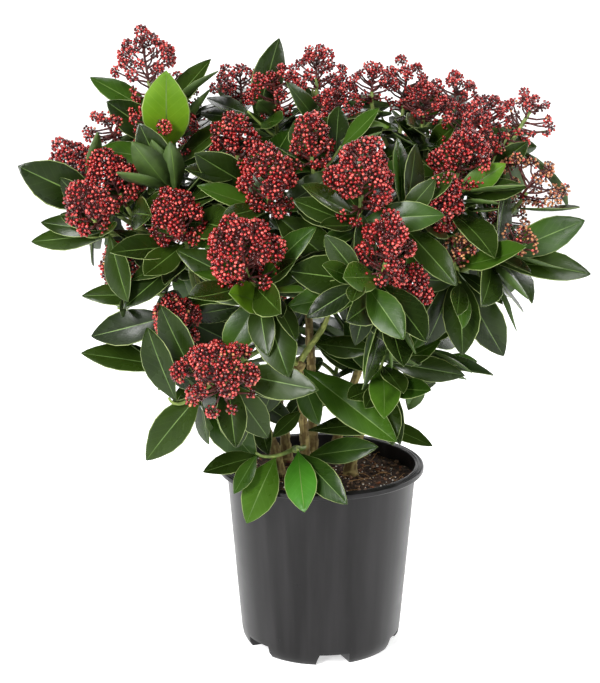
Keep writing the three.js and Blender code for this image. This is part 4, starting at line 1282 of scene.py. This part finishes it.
def bladeMaterial(name, deep, lit, vein, roughness):
    # a leathery leaf: deep green under a thin wax that gives broad soft glints, with faint sunk veins
    material, tree, place = newMaterial(name)
    # clouding about 30 mm across
    cloud = addNode(tree, "TexNoise", {"Vector": place["Object"], "Scale": 32, "Detail": 4})
    green = addNode(tree, "ValToRGB", {"Fac": withTone(tree, cloud)}, [(0.32, deep), (0.72, lit)])
    parts = addNode(tree, "SeparateXYZ", [place["UV"]]).outputs
    middle = addNode(tree, "Math", (parts["X"], 0.5), operation="SUBTRACT")
    aside = addNode(tree, "Math", [middle], operation="ABSOLUTE")
    slope = addNode(tree, "Math", (aside, -5.0), operation="MULTIPLY")
    # side veins about 9 mm apart, slanting forward to the edge
    phase = addNode(tree, "Math", (parts["Y"], 9.0, slope), operation="MULTIPLY_ADD")
    wave = addNode(tree, "Math", (phase, 0.5), operation="PINGPONG")
    line = addNode(tree, "MapRange", (wave, 0.0, 0.09, 1.0, 0.0))
    faint = addNode(tree, "Math", (line, 0.1), operation="MULTIPLY")
    colour = addNode(tree, "MixRGB", {"Fac": faint, "Color1": green, "Color2": linearColour(vein)})
    # fine pores, drawn at about 1 mm so that they show
    pores = addNode(tree, "TexNoise", {"Vector": place["Object"], "Scale": 900, "Detail": 2})
    height = addNode(tree, "Math", (line, -0.4, pores), operation="MULTIPLY_ADD")
    bump = addNode(tree, "Bump", {"Strength": 0.25, "Distance": 0.00025, "Height": height})
    wax = addNode(tree, "MapRange", (cloud, 0.3, 0.7, roughness - 0.06, roughness + 0.1))
    shade(tree, colour, wax, bump, {"IOR": 1.45, "Specular IOR Level": 0.24})
    return material


def plainSkin(name, low, high, scale, roughness, bumpSize=0.0002, coat=0.0, attribute=False):
    # a matt or waxy plant skin whose colour drifts between two tones, with a fine grain
    material, tree, place = newMaterial(name)
    drifting = {"Vector": place["Object"], "Scale": scale, "Detail": 5, "Roughness": 0.62}
    drift = addNode(tree, "TexNoise", drifting)
    source = withTone(tree, drift) if attribute else drift
    colour = addNode(tree, "ValToRGB", {"Fac": source}, [(0.35, low), (0.65, high)])
    grain = addNode(tree, "TexNoise", {"Vector": place["Object"], "Scale": scale * 6, "Detail": 3})
    bump = addNode(tree, "Bump", {"Strength": 0.5, "Distance": bumpSize, "Height": grain})
    shade(tree, colour, roughness, bump, {"IOR": 1.45, "Coat Weight": coat, "Coat Roughness": 0.2})
    return material


leafMaterials = [
    bladeMaterial("leathery leaf, old", "#131f06", "#27390c", "#44592a", 0.26),
    bladeMaterial("leathery leaf, grown", "#1c3208", "#365413", "#5a7434", 0.28),
    bladeMaterial("leathery leaf, young", "#3c600b", "#688a1b", "#88a53f", 0.36),
    bladeMaterial("leathery leaf, fresh", "#214a0c", "#3c721c", "#638f3e", 0.3),
    # the thin horny rim is coloured pale: a painted highlight where its edge would catch the light
    plainSkin("leaf rim with painted highlight", "#66783e", "#93a064", 60, 0.5),
    plainSkin("leaf rib", "#3c5620", "#5c7634", 60, 0.48),
    # the underside is paler and matt, as its wax is thin
    plainSkin("leaf underside", "#293c14", "#435a24", 40, 0.55),
]
# young shoots keep a green, dull skin; the stalks in the heads are dark red where the light reaches them, and
# their colour is darkened further as painted shade in the gaps between the buds
twigMaterials = [
    plainSkin("green shoot bark", "#5c7034", "#8b9a4c", 90, 0.55, attribute=True),
]
stalkMaterials = [
    plainSkin("green shoot bark, thin", "#5c7034", "#8b9a4c", 90, 0.55),
    plainSkin("flower stalk with painted shade", "#35100e", "#5c2420", 120, 0.5),
    plainSkin("bud stalk with painted shade", "#2c0d0c", "#50201c", 160, 0.5),
]
# tight waxy buds: a deep red skin with a sharp small glint on each; the second and third are the same red
# with a painted highlight and with painted shade
budMaterials = [
    plainSkin("red bud", "#700d0f", "#a61f1f", 260, 0.22, 0.0001, 0.4),
    plainSkin("bud with painted highlight", "#a62a28", "#d4645a", 260, 0.2, 0.0001, 0.4),
    plainSkin("bud with painted shade", "#300708", "#540e0e", 260, 0.26, 0.0001, 0.3),
    plainSkin("unripe bud", "#96503a", "#c08a58", 260, 0.36, 0.0001, 0.25),
    plainSkin("bud cup", "#4a1a14", "#6c3a26", 200, 0.5),
]
barkMaterials = {
    # dry stem bark: olive tan, matt, in thin flakes
    "stem": [
        plainSkin("flaking stem bark", "#5b4a26", "#a3945c", 120, 0.85, 0.0006, attribute=True),
        plainSkin("cut stem wood", "#b09a6a", "#cdbb8c", 200, 0.75, 0.0002),
    ],
    "bough": [
        plainSkin("green bough bark", "#6c7636", "#a0a858", 110, 0.65, 0.0004, attribute=True),
        plainSkin("cut bough wood", "#b5a670", "#cfc590", 200, 0.7, 0.0002),
    ],
}


def ride(obj, nodes):
    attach(obj, "root")
    if nodes:
        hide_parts(*nodes)
    return obj


def dressLimbs():
    for name, limb in limbs.items():
        kind = "stem" if name in stems else "bough"
        bundle = Bundle()
        stops = [list(stop) for stop in limb["stops"]]
        # the pruned end is cut square and shows its wood
        stops[-1] = [stops[-2][0] + 1.5, stops[-2][1] * 0.86]
        addLimb(bundle, limb["curve"], stops, barkForm[kind], 0, barkForm[kind]["early"], 1)
        ride(bundle.piece(name + "_bark", barkMaterials[kind]), [name])
    print("bark on", len(limbs), "limbs")


def groupOf(mass):
    return mass["owner"] if mass["owner"] in stems else boughs[mass["owner"]][0]


def addTwigs(bundle, mass):
    stops = limbStops(mass["trunk"], 3, twigSize["foot"], twigSize["fork"])
    addLimb(bundle, mass["trunk"], stops, twigForm, 0, early=3.5)
    for shoot in mass["shoots"]:
        tip = twigSize["tip"] * (0.8 if shoot["head"] else 0.55)
        stops = limbStops(shoot["curve"], 4, twigSize["fork"], tip)
        addLimb(bundle, shoot["curve"], stops, twigForm, 0, early=1)
    for side in mass["sides"]:
        addLimb(bundle, side["curve"], [[0, 1.7], [side["curve"].length, 1.1]], twigForm, 0, early=1.5)


def addLeaves(bundle, mass):
    corners, slots, tones = [], [], []
    uv = leafTemplate["corners"][:, :2] * (0.5, 1) + (0.5, 0)
    for number, plan in enumerate(mass["leaves"]):
        random = seeded(40000 + mass["order"] * 211 + number * 3)
        corners.append(leafCorners(plan, random))
        draw = random(0, 1) - (0.25 if plan["root"][2] < 300 else 0)
        age = plan["age"]
        if age is None:
            age = 1 if draw < 0.3 else 0
        slots.append(np.array([age, 4, 5, 2 if age == 2 else 6])[leafTemplate["slots"]])
        tones.append(random(0.15, 0.85))
    bundle.addCopies(leafTemplate, np.array(corners), np.array(slots), uv, np.array(tones))


def addHeads(mass, stalks, buds):
    rods, globes = {"thick": [], "thin": []}, []
    shift = np.array(headShift.get(mass["name"], (0, 0, 0)))
    for shoot in mass["shoots"]:
        if shoot["head"]:
            growHead({**shoot["head"], "centre": shoot["head"]["centre"] + shift}, mass["kind"], rods, globes)
    for number, (massName, shootNumber, share, spot, radius, kind) in enumerate(extraHeads):
        if massName == mass["name"]:
            root, centre, tall = mass["shoots"][shootNumber]["curve"].at(share), placeAt(spot), 0.8
            axis = unit(unit(centre - root) + up * 0.8)
            rods["thick"].append((root, centre - axis * radius * tall * 0.9, 1.4, 1.2, 1))
            head = {"centre": centre, "axis": axis, "radius": radius, "tall": tall, "seed": 900 + number}
            growHead(head, kind, rods, globes)
    addRods(stalks, rods["thick"], 5)
    addRods(stalks, rods["thin"], 3)
    if globes:
        addBuds(buds, globes)


def dressMasses():
    faces = {}
    for stemName in stems:
        group = [mass for mass in masses if groupOf(mass) == stemName]
        leaves, twigs, stalks, buds = Bundle(), Bundle(), Bundle(), Bundle()
        for mass in group:
            addTwigs(twigs, mass)
            addLeaves(leaves, mass)
            addHeads(mass, stalks, buds)
        made = {
            "leaves": (leaves, leafMaterials, [mass["name"] for mass in group], "foliage"),
            "twigs": (twigs, twigMaterials, [], "foliage"),
            "stalks": (stalks, stalkMaterials, [], None),
            "buds": (buds, budMaterials, [], None),
        }
        for kind, (bundle, materials, replaced, slotName) in made.items():
            obj = ride(bundle.piece(kind + stemName.replace("stem", ""), materials), replaced)
            faces[obj.name] = sum(len(face.vertices) - 2 for face in obj.data.polygons)
    print("pieces of the crown:", faces, "in all", sum(faces.values()))


dressLimbs()
dressMasses()


# The pot: blow-thin moulded plastic with a deep rolled lip, ridges round its mouth and six notches below.
potForm = {
    "steps": 160,
    "wall": [
        (60, 0), (76.4, 0), (78.4, 0.5), (79.4, 1.8), (81.6, 6), (82.8, 12), (83.2, 16), (88.8, 84),
        (94.6, 156), (96.5, 178.6), (96.9, 181.3),
    ],
    "lip": [
        (97.6, 182.2), (102.6, 182.3), (104.2, 182.5), (104.9, 183.3), (105, 185.4), (104.6, 187.0),
        (103.7, 187.7), (102.8, 187.9), (102.3, 187.4), (101.6, 187.2), (101.0, 187.5), (100.3, 187.9),
        (99.4, 187.95), (98.8, 187.5), (98.2, 187.3), (97.6, 187.6), (97.0, 188), (96.4, 187.9),
        (96.1, 187.2), (96.0, 185.5),
    ],
    "inside": [(95.7, 180), (94.6, 164), (80, 162), (40, 162)],
    "bevel": 0.4, "sharp": 55, "smooth": 38,
    # each notch: its ends' distances from the axis and half widths, its low and high edge, and its taper
    "notches": 6, "notchFirst": 9, "notchInner": (38, 6), "notchOuter": (110, 25), "notchHeights": (-5, 12.5),
    "notchTaper": 0.14,
}


def makeNotches():
    # one tapering wedge, wide at the wall and narrow inside, copied round the foot
    cutters = []
    for i in range(potForm["notches"]):
        cutter = shapeFrom("cube", size=1)
        for corner in cutter.data.vertices:
            at, half = potForm["notchOuter" if corner.co.x > 0 else "notchInner"]
            isHigh = corner.co.z > 0
            reach = half * (1 - potForm["notchTaper"] * (1 if isHigh else -1))
            corner.co = (at * mm, copysign(reach * mm, corner.co.y), potForm["notchHeights"][isHigh] * mm)
        cutter.rotation_euler.z = radians(potForm["notchFirst"] - 90 + 360 * i / potForm["notches"])
        cutters.append(settle(cutter))
    return joinAll(cutters)


def potMaterial():
    # injection-moulded polypropylene: charcoal, half glossy, with faint drawn streaks and a little dust, and
    # paler vertical bands of painted reflection in its colour
    material, tree, place = newMaterial("moulded polypropylene")
    # streaks 20 mm wide, with finer ones in them, that run up the wall; in the roughness they are drawn
    # streaks, in the colour they are paler bands of painted reflection
    drawn = addNode(tree, "Mapping", {"Vector": place["Object"], "Scale": (1, 1, 0.04)})
    streaksAndPaintedBands = addNode(tree, "TexNoise", {"Vector": drawn, "Scale": 50, "Detail": 4})
    dust = addNode(tree, "TexNoise", {"Vector": place["Object"], "Scale": 55, "Detail": 6, "Roughness": 0.65})
    both = addNode(tree, "Math", (streaksAndPaintedBands, dust), operation="ADD")
    half = addNode(tree, "Math", (both, 0.5), operation="MULTIPLY")
    # the paler streaks in the colour are painted reflection: vertical bands that stand for lamps mirrored in
    # the glossy wall
    colour = addNode(tree, "ValToRGB", {"Fac": streaksAndPaintedBands}, [(0.4, "#0a090a"), (0.7, "#1f1e1f")])
    rough = addNode(tree, "MapRange", (half, 0.35, 0.65, 0.27, 0.37))
    # mould grain, drawn at 0.6 mm so that it shows
    grain = addNode(tree, "TexNoise", {"Vector": place["Object"], "Scale": 1600, "Detail": 2})
    bump = addNode(tree, "Bump", {"Strength": 0.12, "Distance": 0.0001, "Height": grain})
    shade(tree, colour, rough, bump, {"IOR": 1.49, "Specular IOR Level": 0.28})
    return material


def dressPot():
    pot = lathe("pot_moulded", potForm["steps"], potForm["wall"] + potForm["lip"] + potForm["inside"])
    bpy.ops.mesh.edge_face_add()
    bpy.ops.mesh.select_all(action="SELECT")
    bpy.ops.mesh.remove_doubles(threshold=0.00001)
    bpy.ops.mesh.normals_make_consistent(inside=False)
    closeMesh()
    cutter = makeNotches()
    addModifier(pot, "BOOLEAN", object=cutter, operation="DIFFERENCE", solver="EXACT")
    bpy.data.objects.remove(cutter)
    edges = {"limit_method": "ANGLE", "angle_limit": radians(potForm["sharp"])}
    addModifier(pot, "BEVEL", width=potForm["bevel"] * mm, segments=2, **edges)
    pot.data.materials.clear()
    pot.data.materials.append(potMaterial())
    pickOnly(pot)
    bpy.ops.object.shade_smooth_by_angle(angle=radians(potForm["smooth"]))
    ride(settle(pot), ["pot"])
    print("pot moulded:", len(pot.data.polygons), "faces")


dressPot()


# The soil: a lumpy peat surface with clods, white grains, bits of bark and dry fibres on it.
soilForm = {
    "radius": 95.0, "top": 173.6, "rings": 30, "sides": 110, "fibres": 80, "bitsReach": 93, "fibreReach": 88,
    # clods, white grains and bits of bark, laid three times: count, seed, sizes, flatness, material slot
    "bits": ((173, 700, (1.6, 4.2), 0.7, 1), (80, 720, (0.9, 2.2), 0.8, 2), (30, 740, (2.2, 6.0), 0.35, 3)),
}


def soilHeight(x, y):
    spot = Vector((x * 0.05, y * 0.05, 1.7))
    lumps = 2.6 * noise.noise(spot) + 1.3 * noise.noise(spot * 3.1)
    return soilForm["top"] + lumps - 1.6 * (hypot(x, y) / soilForm["radius"]) ** 6


def makeSoilBed():
    bed = shapeFrom("circle", vertices=soilForm["sides"], radius=soilForm["radius"] * mm, fill_type="NGON")
    openMesh()
    for _ in range(soilForm["rings"]):
        bpy.ops.mesh.inset(thickness=soilForm["radius"] / (soilForm["rings"] + 1) * mm)
    bpy.ops.mesh.poke()
    bpy.ops.mesh.select_all(action="SELECT")
    bpy.ops.mesh.subdivide(number_cuts=1)
    bpy.ops.mesh.normals_make_consistent(inside=False)
    closeMesh()
    for corner in bed.data.vertices:
        x, y = corner.co.x / mm, corner.co.y / mm
        crumb = noise.noise(Vector((x * 0.42, y * 0.42, 0))) * 1.9
        crumb += noise.noise(Vector((x * 1.1, y * 1.1, 4))) * 1.1
        corner.co.z = (soilHeight(x, y) + crumb) * mm
    bed.name = "soil_bed"
    return bed


def spotOn(random, reach):
    angle, out = random(0, 2 * pi), reach * sqrt(random(0, 1))
    return out * cos(angle), out * sin(angle)


def scatter(bundle, template, count, seed, sizes, flat, slot):
    random = seeded(seed)
    corners = []
    for _ in range(count):
        x, y = spotOn(random, soilForm["bitsReach"])
        size = random(*sizes) * (1 if random(0, 1) < 0.8 else 1.5)
        tip, spin = random(-0.5, 0.5), random(0, 6.28)
        shape = template["corners"] * np.array([size, size * random(0.6, 1), size * flat * random(0.7, 1.2)])
        shape = np.array([turned(turned(c, np.array([1.0, 0, 0]), tip), up, spin) for c in shape])
        corners.append(shape + np.array([x, y, soilHeight(x, y) + size * flat * 0.25]))
    bundle.addCopies(template, np.array(corners), np.full((count, len(template["sizes"])), slot))


def addFibres(bundle, count, seed, slot):
    random = seeded(seed)
    for _ in range(count):
        x, y = spotOn(random, soilForm["fibreReach"])
        length, turn = random(6, 22), random(0, 6.28)
        start = np.array([x, y, soilHeight(x, y) + 0.6])
        way = unit(np.array([cos(turn), sin(turn), random(0.0, 0.5)]))
        end = start + unit(way + np.array([random(-0.5, 0.5), random(-0.5, 0.5), -0.2])) * length
        end[2] = max(end[2], soilHeight(end[0], end[1]) + 0.4)
        if hypot(end[0], end[1]) > 92:
            continue
        curve = Bend(start, way, end, unit(np.array([way[0], way[1], -0.4])))
        form = {"step": 2.2, "sides": 4, "ridge": 0, "flake": 0, "across": 1, "along": 1}
        addLimb(bundle, curve, [[0, 0.3], [curve.length, 0.15]], form, slot)


soilMaterials = [
    # damp sphagnum peat: near black in its pores, red brown on dry crumbs
    plainSkin("damp peat", "#060403", "#4e382a", 230, 0.95, 0.0012),
    plainSkin("peat crumb", "#120b08", "#94735a", 300, 0.95, 0.0006),
    # expanded perlite: white, chalky and full of holes
    plainSkin("perlite grain", "#cfc8bb", "#f1ece2", 700, 0.9, 0.0004),
    # bits of composted bark and dry fibres: red brown and straw, matt
    plainSkin("bark chip", "#4c2413", "#84502e", 400, 0.85, 0.0005),
    plainSkin("dry fibre", "#93683a", "#c79a62", 300, 0.8, 0.0002),
]


def dressSoil():
    bed = makeSoilBed()
    bed.data.materials.append(soilMaterials[0])
    bed.data.shade_smooth()
    ride(settle(bed), ["soil"])
    crumbs = Bundle()
    pebble = templateOf(shapeFrom("ico_sphere", subdivisions=1, radius=0.5))
    for i in range(3):
        for count, seed, *rest in soilForm["bits"]:
            scatter(crumbs, pebble, count, seed + i, *rest)
    addFibres(crumbs, soilForm["fibres"], 760, 4)
    obj = crumbs.piece("soil_crumbs", soilMaterials)
    obj.data.shade_flat()
    ride(obj, [])
    print("soil laid")


dressSoil()


# Floor, light and camera
studio = {
    "floor": ((4200, 0), (4452, 50), (4630.08, 150), (4722.68, 350), (4722.68, 1650)),
    "glow": 0.54, "world": 0.12,
    # each lamp: its place, size and power; all of them face the middle of the plant
    "middle": (0, 0, 0.32),
    "lamps": {
        "key": ((-1.15, -2.0, 1.6), (0.4, 1.5), 104),
        "fill": ((2.1, -0.95, 1.1), (0.35, 1.4), 30),
        "back": ((-0.3, 1.8, 2.2), (1.3, 1.3), 34),
        "edge": ((1.5, 1.3, 0.9), (0.3, 1.4), 16),
    },
}
eye = {"place": (-0.0217, -1.3, 0.6066), "tip": 77.32, "lens": 69.86}


def setStage():
    # a round white floor that sweeps up into a low wall
    floor = lathe("studio_floor", 96, studio["floor"])
    closeMesh()
    floor.data.shade_smooth()
    material, tree, place = newMaterial("matt white paper")
    fibre = addNode(tree, "TexNoise", {"Vector": place["Object"], "Scale": 800})
    bump = addNode(tree, "Bump", {"Strength": 0.05, "Distance": 0.0001, "Height": fibre})
    white = (1, 1, 1, 1)
    shade(tree, (0.9, 0.9, 0.9, 1), 0.9, bump, {"Emission Color": white, "Emission Strength": studio["glow"]})
    floor.data.materials.append(material)
    scene = bpy.context.scene
    scene.world = bpy.data.worlds.new("studio")
    scene.world.use_nodes = True
    background = scene.world.node_tree.nodes["Background"].inputs
    background["Color"].default_value = white
    background["Strength"].default_value = studio["world"]
    for name, (spot, size, power) in studio["lamps"].items():
        lamp = bpy.data.lights.new(name, "AREA")
        lamp.shape, lamp.energy = "RECTANGLE", power
        lamp.size, lamp.size_y = size
        holder = show(name, lamp)
        holder.location = spot
        aim = Vector(studio["middle"]) - holder.location
        holder.rotation_euler = aim.to_track_quat("-Z", "Y").to_euler()
    scene.camera = show("camera", bpy.data.cameras.new("camera"))
    scene.camera.location = eye["place"]
    scene.camera.rotation_euler = (radians(eye["tip"]), 0, 0)
    scene.camera.data.lens = eye["lens"]
    scene.camera.data.sensor_width = 36
    scene.view_settings.view_transform = "Standard"


setStage()
